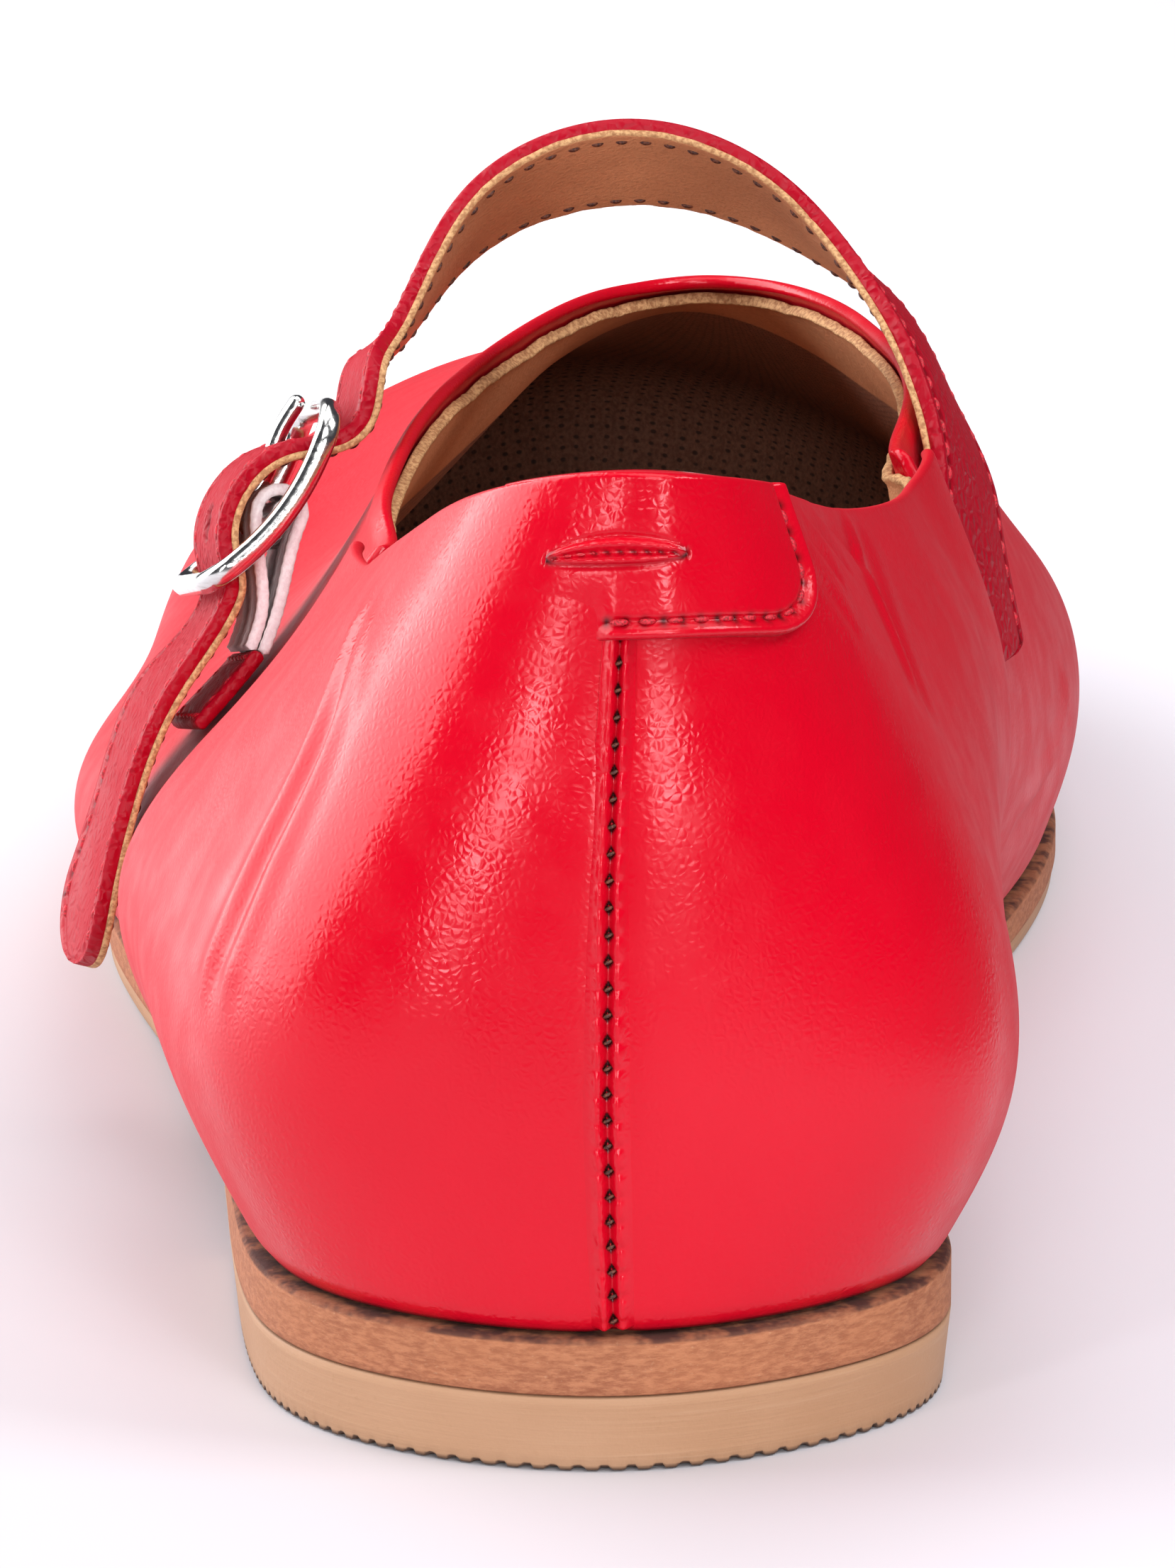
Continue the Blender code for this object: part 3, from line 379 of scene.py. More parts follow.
# ---------------- finishes
class Finish:
    """A material being put together.  An input of a node is a value or another's socket."""

    def __init__(self, name, scale=(1, 1, 1)):
        self.material = bpy.data.materials.new(name)
        self.material.use_nodes = True
        self.at = self.coords(scale)

    def feed(self, node, inputs):
        for key, value in inputs.items():
            if isinstance(value, bpy.types.NodeSocket):
                self.material.node_tree.links.new(value, node.inputs[key])
            else:
                node.inputs[key].default_value = value

    def add(self, kind, inputs, output, **settings):
        """One node with its settings and its inputs by number or name; gives one output."""
        node = self.material.node_tree.nodes.new("ShaderNode" + kind)
        for key, value in settings.items():
            setattr(node, key, value)
        self.feed(node, inputs)
        return node.outputs[output]

    def coords(self, scale=(1, 1, 1), turn=(0, 0, 0)):
        """Object coordinates, stretched and turned."""
        return self.add("Mapping", {0: self.add("TexCoord", {}, "Object"), 2: turn, 3: scale}, 0)

    def run(self):
        """Lengths that run along and across the piece."""
        return self.add("UVMap", {}, 0, uv_map="run")

    def painted(self, label):
        """Number painted on the points of the piece."""
        return self.add("Attribute", {}, "Fac", attribute_name=label)

    def noise(self, scale, detail=2.0, rough=0.5, at=None, output="Fac"):
        return self.add("TexNoise", {"Vector": at or self.at, "Scale": scale, "Detail": detail,
                                     "Roughness": rough}, output)

    def calc(self, operation, a, b):
        return self.add("Math", {0: a, 1: b}, 0, operation=operation)

    def ramp(self, value, low, high, to_low=0.0, to_high=1.0):
        """Soft step from `to_low` where the value is `low` to `to_high` where it is `high`."""
        return self.add("MapRange", {0: value, 1: low, 2: high, 3: to_low, 4: to_high}, 0,
                        interpolation_type="SMOOTHSTEP")

    def mix(self, share, *colours):
        """Colour between two colours."""
        first, second = (c if isinstance(c, bpy.types.NodeSocket) else (*c, 1.0) for c in colours)
        return self.add("Mix", {0: share, 6: first, 7: second}, 2, data_type="RGBA")

    def blend(self, value, low, high, first, second, most=1.0):
        """From the first colour at `low` towards the second at `high`, at most by `most`."""
        return self.mix(self.ramp(value, low, high, 0.0, most), first, second)

    def relief(self, height, distance, strength=1.0, under=None):
        inputs = {"Height": height, "Distance": distance, "Strength": strength}
        if under is not None:
            inputs["Normal"] = under
        return self.add("Bump", inputs, 0)

    def done(self, colour, rough, normal=None, **more):
        """The material; further inputs of its shader have _ for the spaces in their names."""
        inputs = {"Base Color": colour, "Roughness": rough}
        if normal is not None:
            inputs["Normal"] = normal
        inputs.update({name.replace("_", " "): value for name, value in more.items()})
        self.feed(self.material.node_tree.nodes["Principled BSDF"], inputs)
        return self.material


def red_leather(name, grain=1500.0, depth=0.000021, rough=0.21, tone=1.0, shine=0.5):
    """Smooth finished calf: a pebbled grain that comes and goes, faint long draws.  Its
    polish is duller where the surface turns away."""
    f = Finish(name)
    colour = f.blend(f.noise(30.0, 3.0), 0.35, 0.7,
                     (0.56 * tone, 0.0005, 0.012), (0.60 * tone, 0.0007, 0.014))
    colour = f.blend(f.noise(1300.0), 0.60, 0.85, colour, (0.45, 0.001, 0.008), 0.15)
    # edge mark: dark edge dye on cut edges, together with painted shade along the upper's foot, at
    # the quarters' front edges and under the tab's lower edge
    colour = f.mix(f.painted("edge"), colour, (0.10, 0.002, 0.006))
    # recess mark: painted shade in holes and pressed recesses, such as the strap's buckle and
    # needle holes, the tab's slot and stitch holes, and the back seam's groove and stitch pits
    colour = f.mix(f.painted("recess_shade"), colour, (0.035, 0.004, 0.004))
    bent = f.add("VectorMath", {0: f.noise(420.0, output="Color"), 1: (0.0009,) * 3, 2: f.at}, 0,
                 operation="MULTIPLY_ADD")
    cells = f.add("TexVoronoi", {"Vector": bent, "Scale": grain}, "Distance",
                  feature="DISTANCE_TO_EDGE")
    show = f.ramp(f.noise(55.0), 0.35, 0.65, 0.55, 1.0)
    pebbles = f.relief(f.calc("MULTIPLY", f.ramp(cells, 0.0, 0.45), show), depth)
    draws = f.noise(1.0, at=f.coords((900, 900, 200), (0.35, 0.5, 0.2)))
    normal = f.relief(f.noise(110.0), 0.00008, 0.25, f.relief(draws, 0.00002, 0.4, pebbles))
    dull = f.ramp(f.noise(260.0, 3.0), 0.3, 0.7, rough - 0.04, rough + 0.06)
    turned = f.ramp(f.add("LayerWeight", {"Blend": 0.5}, "Facing"), 0.55, 0.95, 0.0, 0.35)
    return f.done(colour, f.calc("ADD", dull, turned), normal, Specular_IOR_Level=shine,
                  Specular_Tint=(1.0, 0.62, 0.66, 1.0))


def lining_leather(name):
    """Tan lining: fine fibres, a pale raw edge, and a dark pricked sock deep inside."""
    f = Finish(name)
    fibre = f.noise(2600.0, 2.0, 0.6)
    colour = f.blend(f.noise(60.0, 3.0), 0.3, 0.7, (0.60, 0.255, 0.122), (0.80, 0.360, 0.178))
    colour = f.blend(fibre, 0.45, 0.8, colour, (0.36, 0.140, 0.062), 0.35)
    sock = f.blend(fibre, 0.3, 0.7, (0.24, 0.102, 0.062), (0.38, 0.172, 0.108))
    prick = f.add("TexVoronoi", {"Vector": f.run(), "Scale": 900.0, "Randomness": 0.15}, "Distance")
    sock = f.mix(f.ramp(prick, 0.12, 0.26, 0.75, 0.0), sock, (0.030, 0.020, 0.017))
    colour = f.blend(f.painted("below"), 14.6, 15.6, colour, sock)
    raw = f.blend(fibre, 0.35, 0.65, (0.38, 0.175, 0.075), (0.66, 0.38, 0.180))
    colour = f.mix(f.painted("raw"), colour, raw)
    # painted shade for holes marked on a lining piece
    colour = f.mix(f.painted("recess_shade"), colour, (0.05, 0.016, 0.010))
    return f.done(colour, 0.72, f.relief(fibre, 0.00016, 0.8), Specular_IOR_Level=0.3)


def thread(name, dark, light):
    """Twisted sewing thread."""
    f = Finish(name)
    twist = f.noise(5200.0, 1.0)
    return f.done(f.blend(twist, 0.35, 0.65, dark, light), 0.55, f.relief(twist, 0.00008, 0.7))


def rubber_finish(name):
    """Beige crepe-coloured rubber, trimmed on a wheel: fine level lines and specks."""
    f = Finish(name)
    lines = f.noise(1.0, 3.0, 0.6, f.coords((60, 60, 2600)))
    speck = f.noise(1400.0, 2.0, 0.7)
    colour = f.blend(f.noise(45.0), 0.3, 0.7, (0.41, 0.218, 0.115), (0.46, 0.260, 0.148))
    colour = f.blend(lines, 0.52, 0.75, colour, (0.52, 0.320, 0.195), 0.35)
    colour = f.blend(speck, 0.62, 0.8, colour, (0.36, 0.19, 0.09), 0.30)
    # edge mark: painted shade at the heel's bottom and in its notches where it meets the floor, and
    # dark join lines at the top of the rubber
    colour = f.mix(f.painted("edge"), colour, (0.05, 0.022, 0.014))
    return f.done(colour, 0.62, f.relief(lines, 0.00012, 0.45, f.relief(speck, 0.0001, 0.4)))


def board_finish(name):
    """Leather board midsole: fine cut fibres, and a dark, broken line along its top: painted shade
    under the upper's tucked-in edge over a dark join line.
    """
    f = Finish(name, (1, 1, 1.5))
    curl = f.noise(1.0, 4.0, 0.66, f.coords((800, 800, 2600)))
    colour = f.blend(curl, 0.34, 0.66, (0.285, 0.091, 0.040), (0.44, 0.172, 0.082))
    colour = f.blend(f.noise(90.0), 0.35, 0.65, colour, (0.44, 0.160, 0.068), 0.35)
    colour = f.blend(f.noise(2600.0, 2.0, 0.6), 0.62, 0.80, colour, (0.52, 0.315, 0.19), 0.35)
    # breaks the painted shade and join line along the top into patches
    patchy = f.ramp(f.noise(260.0, 3.0, 0.7), 0.40, 0.62, 0.35, 1.0)
    colour = f.mix(f.calc("MULTIPLY", f.painted("edge"), patchy), colour, (0.055, 0.016, 0.011))
    return f.done(colour, 0.8, f.relief(curl, 0.0002, 0.7))


def metal_finish(name):
    """Polished plated wire with faint rubbing marks."""
    f = Finish(name, (1, 1, 4))
    rub = f.noise(700.0, 4.0, 0.7)
    colour = f.blend(rub, 0.4, 0.8, (0.78, 0.78, 0.77), (0.58, 0.57, 0.56))
    return f.done(colour, f.ramp(rub, 0.3, 0.8, 0.10, 0.26), f.relief(rub, 0.00003, 0.3),
                  Metallic=1.0)


def elastic_finish(name):
    """Woven elastic: white at its edges, greyer between its lengthwise cords."""
    f = Finish(name)
    weave = f.add("TexWave", {"Vector": f.run(), "Scale": 420.0, "Distortion": 1.5, "Detail": 1.0},
                  "Fac", bands_direction="X")
    fluff = f.noise(2400.0, 2.0, 0.6)
    colour = f.blend(fluff, 0.3, 0.7, (0.80, 0.72, 0.74), (0.92, 0.88, 0.89))
    dark = f.blend(weave, 0.2, 0.8, (0.62, 0.54, 0.54), (0.86, 0.79, 0.78))
    colour = f.mix(f.painted("face"), colour, dark)
    return f.done(colour, 0.85, f.relief(weave, 0.00015, 0.6, f.relief(fluff, 0.00015, 0.6)))


CALF = red_leather("calf_red")
STRAP_CALF = red_leather("calf_red_strap", grain=900.0, depth=0.00018, rough=0.36, tone=0.68,
                         shine=0.26)
TAN = lining_leather("calf_lining_tan")
RED_THREAD = thread("thread_red", (0.30, 0.003, 0.010), (0.66, 0.010, 0.030))
DARK_THREAD = thread("thread_dark", (0.035, 0.008, 0.006), (0.16, 0.045, 0.022))
RUBBER = rubber_finish("rubber_beige")
BOARD = board_finish("board_brown")
METAL = metal_finish("plated_wire")
ELASTIC = elastic_finish("elastic_white")

# ---------------- creases of the upper
# Each crease is a soft ridge (height above 0) or trough (below 0): its height, its width
# and a line of listed points, mm round from the back seam (lateral positive) and up.
CREASES = (
    # pleats of the quarter, outer and inner, and the valley between them
    (0.55, 1.5, (62, 58), (54, 53), (44, 47), (41, 38), (41, 30), (44, 21)),
    (0.50, 1.3, (55, 58), (46, 53), (39, 47), (37, 39), (37, 30), (39, 22)),
    (-0.45, 1.5, (59, 58), (50, 53), (41, 47), (39, 38), (39, 30), (42, 22)),
    # ankle crease and the trough beside it
    (0.36, 1.0, (-70, 60), (-60, 56), (-54, 49.5), (-50, 45)),
    (-0.26, 1.4, (-74, 58), (-64, 53), (-58, 48), (-53, 42)),
    # wrinkles and a pucker of the collar
    (-0.28, 0.8, (-33, 64), (-37, 61.5), (-40, 58)),
    (-0.25, 0.8, (-36, 66), (-43, 62), (-49, 57)),
    (-0.22, 0.8, (-30, 60), (-33, 58), (-36, 54)),
    (-0.26, 0.9, (-44, 65), (-54, 60), (-62, 54)),
    (-0.10, 1.4, (-58, 61), (-60, 57), (-61, 52)),
    # draw of the vamp and the trough below it
    (0.50, 1.5, (-197, 24), (-186, 18.6), (-177, 17.2), (-166, 16.4)),
    (-0.55, 2.6, (-199, 21), (-187, 15.0), (-177, 13.6), (-164, 13.0)),
    # broad hollows above the counter and in the quarter
    (-0.35, 6.0, (-34, 50), (-14, 52), (10, 52), (34, 50)),
    (-0.50, 8.0, (60, 44), (62, 34), (60, 24)),
)


def crease_height(points):
    """Height that the creases add: across its line each is a round ridge with a faint
    opposite shoulder on either side, and it fades to nothing at both ends."""
    flat = points.reshape(-1, 3)
    total = np.zeros(len(flat))
    for high, width, *line in CREASES:
        even, share = np.linspace(0, 1, 26), np.linspace(0, 1, len(line))
        around, rise = spot(*(np.interp(even, share, values) for values in zip(*line)))
        path = open_spline(last(around, rise)[::5], even)
        reach = 4 * width
        near = np.all((flat > path.min(0) - reach) & (flat < path.max(0) + reach), axis=1)
        here = flat[near][:, None] - path[:-1]
        run = np.diff(path, axis=0)
        t = np.clip((here * run).sum(-1) / (run * run).sum(-1), 0, 1)
        gap = np.linalg.norm(here - t[..., None] * run, axis=-1)
        nearest = np.arange(len(here)), gap.argmin(1)
        away, share = gap[nearest], (nearest[1] + t[nearest]) / len(run)
        fade = np.sqrt(np.clip(4 * share * (1 - share), 0, 1))
        fade = fade * smooth(0, 0.12, share) * smooth(0, 0.12, 1 - share)
        total[near] += high * fade * (bump(away, 0, width) - 0.25 * bump(away, 2 * width, width))
    return total.reshape(points.shape[:-1])


# ---------------- leather of the upper
SEAM_TOP = 56.0
SEAM_LEAN = (0.5, 2.4)    # mm lateral of the back line, at the sole and at the tab
SEAM_PITCH = 2.1
SEAM_HALF = 1.9           # half the width of the raised seam
GROOVE = -0.05            # middle of its groove, across
TUCK = 0.35               # the leather draws in by this at the sole
END_TURN = np.linspace(0, pi / 2, 6)
FOLD_TURN = np.linspace(0, pi, 13)[1:-1]
LOW_ROWS = np.array([0.0, 0.3, 0.7, 1.2, 1.8, 2.6])
HIGH_ROWS = np.array([3.4, 2.6, 1.9, 1.3, 0.8, 0.4])
BACK_ROWS = 26


def seam_line(up):
    """Middle of the raised seam, mm lateral of the back line."""
    return SEAM_LEAN[0] + (SEAM_LEAN[1] - SEAM_LEAN[0]) * up / SEAM_TOP


def leather_sheet(name, start, end, columns, rows, lift, roll=0.0, seam=0.0, drop=0.0):
    """Sheet of leather between two lines round the foot, its cut ends rounded off and
    its top edge turned over.  lift(around, rise) is its outside above the quarters;
    `roll` swells its top edge, `seam` is the depth of a bed for the raised seam, and
    `drop` how far its top edge goes down under the quarters."""
    half = HIDE / 2
    turn_in = half * (1 - np.cos(END_TURN))
    shift = np.concatenate([turn_in, np.full(columns, half), HIDE - turn_in[::-1]]) / PERIMETER
    share = np.concatenate([np.zeros(6), np.linspace(0, 1, columns), np.ones(6)])
    full = np.concatenate([np.sin(END_TURN), np.ones(columns), np.sin(END_TURN[::-1])])

    def places(rise):
        first = start(rise)
        return first + shift + (end(rise) - first - HIDE / PERIMETER) * share

    guess = places(0.8)
    wall = wall_height(guess)
    height = wall - half - drop * smooth(0.2, 3.0, behind_lap(guess, 0.9))
    between = np.linspace(0, 1, rows)[1:-1, None]
    up = np.concatenate([LOW_ROWS[:, None] + 0 * height,
                         LOW_ROWS[-1] + (height - LOW_ROWS[-1] - HIGH_ROWS[0]) * between,
                         height - HIGH_ROWS[:, None], height[None]])
    rise = up / wall
    around = np.stack([places(row) for row in rise])
    point, normal, upward = frame_of(around, rise)
    surface = lift(around, rise) - fold_depth(around, rise)
    form = crease_height(off(point, normal, surface)) * smooth(0, 3, height - up + 1.0)
    form = form - TUCK * (1 - smooth(0, 2.0, up)) ** 2 + roll * bump(height - up, 1.2, 1.1)
    bed = bump(around * PERIMETER, seam_line(up), 1.35) * smooth(SEAM_TOP + 2.0, SEAM_TOP, up)
    core = surface + form - seam * bed - half
    outer = off(point, normal, core + half * full)
    inner = off(point, normal, core - half * full)
    rim = off(point, normal, core)[-1]
    arc = [rim + half * full[:, None] * (normal[-1] * np.cos(t) + upward[-1] * np.sin(t))
           for t in FOLD_TURN]
    back = inner[::-1][np.unique(np.linspace(0, len(inner) - 1, BACK_ROWS).astype(int))]
    # Painted darkening for the edge mark: the cut ends get edge dye and painted shade where the
    # quarters' front edges throw their shadow line on the vamp; the lowest 0.45 mm of the upper,
    # tucked in at the sole, gets painted shade.
    cut = np.clip(1.15 - full, 0, 1) * (full < 0.9)
    edge = np.concatenate([np.maximum(cut, 0.8 * (1 - smooth(0.1, 0.45, up))),
                           np.zeros((len(arc) + len(back), len(full)))])
    make_piece(name, np.concatenate([outer, np.stack(arc), back]), CALF, ("upper",),
               wrap_rows=True, wrap_columns=False, marks={"edge": edge})


def vamp_lift(around, rise):
    """The vamp lies on the last and dips a little where it runs under the quarters."""
    return -0.25 * smooth(0.5, 3.0, behind_lap(around, rise))


def build_upper():
    """The quarters, in one piece round the back, and the vamp, which runs under them."""
    under = UNDERLAP / PERIMETER
    leather_sheet("quarters_leather", lambda rise: lap_edge(1, rise) - 1,
                  lambda rise: lap_edge(0, rise), 400, 112, lap_step, seam=0.5)
    leather_sheet("vamp_leather", lambda rise: lap_edge(0, rise) - under,
                  lambda rise: lap_edge(1, rise) + under, 330, 96, vamp_lift, roll=0.28, drop=4.5)


def build_lining():
    """Closed sheet inside the leather; its top edge is cut unevenly just under the roll."""
    around = np.linspace(0, 1, 421)
    height = wall_height(around)
    along = around * PERIMETER
    wave = uneven(along, 1, 8.5) * np.sin(pi * around) ** 0.2 + 0.25 * uneven(along, 2, 2.3)
    top = height - LINING_LOW - 0.50 * wave * smooth(0, 6, np.minimum(along, PERIMETER - along))
    share = np.linspace(0, 1, 60)[:, None] ** 0.8
    up = np.concatenate([share * (top - 1.2), top - np.array([[0.8], [0.4], [0.12], [0.0]])])
    around, along = np.broadcast_to(around, up.shape), np.broadcast_to(along, up.shape)
    point, normal, _ = frame_of(around, up / height)
    depth = HIDE + LINING_GAP + fold_depth(around, up / height)
    bevel = 0.12 * (np.arange(len(up)) == len(up) - 1)[:, None]
    outer = off(point, normal, -(depth + bevel))
    inner = off(point, normal, -(depth + LINING + 0.30 * smooth(1.0, 0.3, top - up) - bevel))
    band = 0.34 + 0.14 * uneven(along, 9, 3.1)
    raw = [smooth(band + wide, band - 0.2, top - up) for wide in (0.25, 0.3)]
    below = height - up
    sheet("lining", outer, inner, TAN, ("upper",),
          {"below": (below, below), "raw": raw}, np.stack([along, up], axis=-1))


# ---------------- sole
BREAST = 58.0             # front face of the heel
BOARD_REACH = 1.0         # midsole edge outside the foot line
RUBBER_REACH = 0.7
HEEL_TAPER = 0.6
TOOTH = 2.0               # pitch of the notches round the heel's bottom edge


def breast_places():
    """Places round the foot where the heel's front face cuts the foot line."""
    around = np.linspace(0, 1, 4001)
    y = foot_line(around)[0][:, 1]
    reach = 1200              # of the samples, from the back seam to the waist
    return (np.interp(BREAST, y[:reach], around[:reach]),
            np.interp(BREAST, y[:-reach - 1:-1], around[:-reach - 1:-1]))


def plate(name, rings, start, end, count, finish, node):
    """Closed plate: rings (reach, height, darkening painted on it: painted shade and dark join
    lines) from the bottom up round the foot line, each end capped by strips from the lateral to the
    medial side."""
    around = np.linspace(start, end, count)
    line, outward = foot_line(around)
    wall = []
    for reach, height, _ in rings:
        at = line + outward * reach
        wall.append(np.column_stack([at, height(at[:, 1], around)]))
    paint = np.array([ring[2] for ring in rings])
    half = (count + 1) // 2
    caps = [np.stack([ring[:half], ring[::-1][:half]], axis=1) for ring in (wall[0], wall[-1])]
    make_piece(name, np.stack(wall), finish, (node,), marks={"edge": paint[:, None]},
               more=caps, more_wrap=False, more_mark=paint[[0, -1]])


def line_at(column, lift):
    """Height of a line of the sole profile, lifted."""
    return lambda y, around: sole_height(column, y) + lift


def teeth(y, around, least=0.0, lift=0.0):
    """Bottom edge of the heel: flat at the floor with evenly spaced notches."""
    along = np.mod(around * PERIMETER, TOOTH) / TOOTH
    notch = 0.05 + 0.38 * smooth(0.30, 0.42, along) * (1 - smooth(0.72, 0.86, along))
    return np.maximum(notch, least) + lift


def stack(reach, taper, low, high, count):
    """Rings of an upright wall, evenly spaced from low(y, around) up to high."""
    return [(reach + taper * share, lambda y, around, share=share:
             low(y, around) + (high(y, around) - low(y, around)) * share, 0.0)
            for share in np.linspace(0.15, 1.0, count)]


def build_sole():
    """Heel block, outsole, midsole and sock, each a stack of rings round the foot line."""
    lateral, medial = breast_places()
    low = BOARD_REACH - HEEL_TAPER
    # the lowest rings, under the heel and in its notches, are painted dark: painted shade where the
    # heel meets the floor; the top rings carry a dark join line
    rings = [(low - 1.3, lambda y, around: 0 * y, 0.8), (low - 0.9, lambda y, around: 0 * y, 0.8),
             (low - 0.05, teeth, 0.9), (low, lambda y, around: teeth(y, around, 0.3, 0.12), 0.1)]
    rings += stack(low, HEEL_TAPER, lambda y, around: 0.5 + 0 * y, line_at(JOINT, -0.35), 7)
    rings.append((BOARD_REACH - 0.12, line_at(JOINT, -0.22), 0.35))
    plate("heel_block", rings, medial - 1, lateral, 701, RUBBER, "heel")
    rings = [(RUBBER_REACH - 0.9, line_at(UNDER, 0.0), 0.2),
             (RUBBER_REACH - 0.25, line_at(UNDER, 0.08), 0.1),
             (RUBBER_REACH, line_at(UNDER, 0.4), 0.0), (RUBBER_REACH, line_at(JOINT, -0.5), 0.0),
             (RUBBER_REACH - 0.12, line_at(JOINT, -0.26), 0.3)]
    gap = 0.0006              # between the outsole's ends and the heel's front face
    plate("outsole_sheet", rings, lateral + gap, medial - gap, 601, RUBBER, "outsole")
    # the midsole's top rings are painted dark: painted shade under the upper's tucked-in edge, over
    # a dark join line
    rings = [(BOARD_REACH - 0.15, line_at(JOINT, -0.10), 0.25),
             (BOARD_REACH, line_at(JOINT, 0.05), 0.0)]
    rings += stack(BOARD_REACH, 0, line_at(JOINT, 0.05), line_at(SEAT, -0.45), 6)
    rings += [(BOARD_REACH - 0.08, line_at(SEAT, -0.30), 0.85),
              (BOARD_REACH - 0.40, line_at(SEAT, -0.06), 1.0),
              (BOARD_REACH - 1.2, line_at(SEAT, 0.0), 1.0)]
    plate("midsole_layer", rings, 0.0, 1.0, 801, BOARD, "midsole")
    inset = -(HIDE + LINING + 1.25)
    rings = [(inset - further, line_at(SEAT, lift), 0.0) for further, lift in
             ((0, 0.3), (0, 1.6), (0.2, 2.0), (0.7, 2.25), (3.0, 2.3))]
    plate("insole_sock", rings, 0.0, 1.0, 401, TAN, "insole")


build_upper()
build_lining()
build_sole()

# ---------------- heel tab and back seam
TAB_THICK = 1.05
TAB_REACH = 26.6          # how far the tab reaches past the back seam, mm round
TAB_DIVE = 24.0           # the lateral end runs out into its own quarter over this length
TAB_LOW = 55.3            # height of its lower edge up the wall
TAB_CORNER = 6.0
TAB_LEAN = 0.56           # its medial side stands this much closer than it is drawn
TAB_PITCH = 2.15          # of its stitches
TAB_INSET = 1.55          # from its edge to the stitches
TAB_UNDER = -0.45         # its underside
SLOT_MIDDLE = (-3.6, 62.0)  # embossed slot: mm past the seam and mm up
SLOT_HALF = (8.9, 1.25)


def tab_slot(past, up):
    """Relief of the embossed slot: a lens with a pressed outline and a twisted bar in it, with
    painted shade for its outline and middle.
    """
    x = (past - SLOT_MIDDLE[0]) / SLOT_HALF[0]
    y = up - SLOT_MIDDLE[1] - 0.25 * (1 - x ** 2)
    side, inside = np.abs(x), np.abs(x) < 1
    bow = SLOT_HALF[1] * np.sqrt(np.clip(1 - x ** 2, 0, 1)) ** 1.2 * np.where(y < 0, 0.8, 1)
    outline = np.where(inside, bump(np.abs(y), bow, 0.26),
                       bump(np.hypot((side - 1) * 9, y), 0, 0.4))
    lips = inside * bump(np.abs(y), bow * 0.60, 0.34) * np.where(y > 0, 1.0, 0.7)
    twist = 0.5 + 0.5 * np.sin(2 * pi * (past + 1.6 * y) / 1.7)
    middle = inside * bump(y, 0, 0.20) * smooth(1.0, 0.85, side)
    height = (0.52 * lips * (0.85 + 0.15 * twist) - 0.26 * outline
              - 0.34 * middle * (0.35 + 0.65 * twist))
    # painted shade in the pressed outline, darker along its lower side and at its ends, and in the
    # slot's middle where the twisted bar sinks
    dark = (0.80 * outline * smooth(0.80, 1.0, side) + 0.28 * outline * (y < 0)
            + 0.75 * middle * smooth(0.45, 0.8, twist))
    return height, np.clip(dark, 0, 1)


def tab_border(past, up):
    """Distance inside the tab's edge: its lower edge and rounded medial corner."""
    low, side = up - TAB_LOW, (TAB_REACH - past) * TAB_LEAN
    corner = TAB_CORNER - np.hypot(TAB_CORNER - low, TAB_CORNER - side)
    return np.where((low < TAB_CORNER) & (side < TAB_CORNER), corner, np.minimum(low, side))


def tab_stitch_line():
    """The row of stitches, mm past the seam and mm up: along, round the corner and up."""
    turn = np.linspace(0, pi / 2, 40)
    radius = TAB_CORNER - TAB_INSET
    # both measured inwards from the corner of the edge: from the side, and from below
    side = np.concatenate([np.linspace((TAB_REACH + 4.0) * TAB_LEAN, TAB_CORNER, 60)[:-1],
                           TAB_CORNER - radius * np.sin(turn), np.full(29, TAB_INSET)])
    low = np.concatenate([np.full(59, TAB_INSET), TAB_CORNER - radius * np.cos(turn),
                          np.linspace(TAB_CORNER, 66.3 - TAB_LOW, 30)[1:]])
    return np.column_stack([TAB_REACH - side / TAB_LEAN, TAB_LOW + low])


def build_heel_tab():
    """End of the lateral quarter, lapped over the back seam and stitched along its edge."""
    past = np.linspace(-TAB_DIVE, TAB_REACH, 330)
    into = np.clip(1 - (TAB_REACH - past) * TAB_LEAN / TAB_CORNER, 0, 1)
    low = TAB_LOW + TAB_CORNER * (1 - np.sqrt(1 - into ** 2))
    around = -past / PERIMETER
    height = wall_height(around)
    up = low + (height + 0.15 - low) * np.linspace(0, 1, 92)[:, None]
    point, normal, _ = frame_of(np.broadcast_to(around, up.shape), up / height)
    edge = tab_border(past, up)
    slot, dark = tab_slot(past, up)
    line = tab_stitch_line()
    run = run_of(line)
    # painted shade in the stitch holes along the tab's edge
    for where in np.arange(0.0, run[-1], TAB_PITCH):
        x, y = np.interp(where, run, line[:, 0]), np.interp(where, run, line[:, 1])
        dark = np.maximum(dark, bump(np.hypot(past - x, (up - y) * 1.15), 0.0, 0.48))
    dive = 0.36 * smooth(-TAB_DIVE, -10.0, past) + 0.64 * smooth(-10.0, 4.0, past)
    free = smooth(-6.0, -3.0, past)       # 1 where the tab has a cut lower edge
    puff = 0.34 * bump(edge, 0.66, 0.5) - 0.34 * bump(edge, TAB_INSET, 0.30)
    out = (TAB_THICK + 0.35) * dive - 0.35 + slot + puff * free
    rounding = smooth(0.0, 6.0, edge) * (1 - free) + rounded(edge / 0.45) * free
    shape = np.minimum(rounding, rounded((height + 0.16 - up) / 0.5))
    outer = off(point, normal, TAB_UNDER + (out - TAB_UNDER) * shape)
    inner = point + normal * TAB_UNDER
    join_rims(outer, inner)
    # the recess mark carries the painted shade of slot and stitch holes; the edge mark darkens the
    # tab's cut lower edge with edge dye and painted shade under its lip
    sheet("heel_tab_leather", outer, inner, CALF, ("heel_tab",),
          marks={"recess_shade": (dark, 0), "edge": (0.5 * bump(edge, 0.0, 0.25) * free, 0)})
    around = -line[:, 0] / PERIMETER
    point, normal, _ = frame_of(around, line[:, 1] / wall_height(around))
    stitches("heel_tab_stitches", point + normal * (TAB_THICK - 0.22), normal, TAB_PITCH, 1.5, 0.26,
             RED_THREAD)


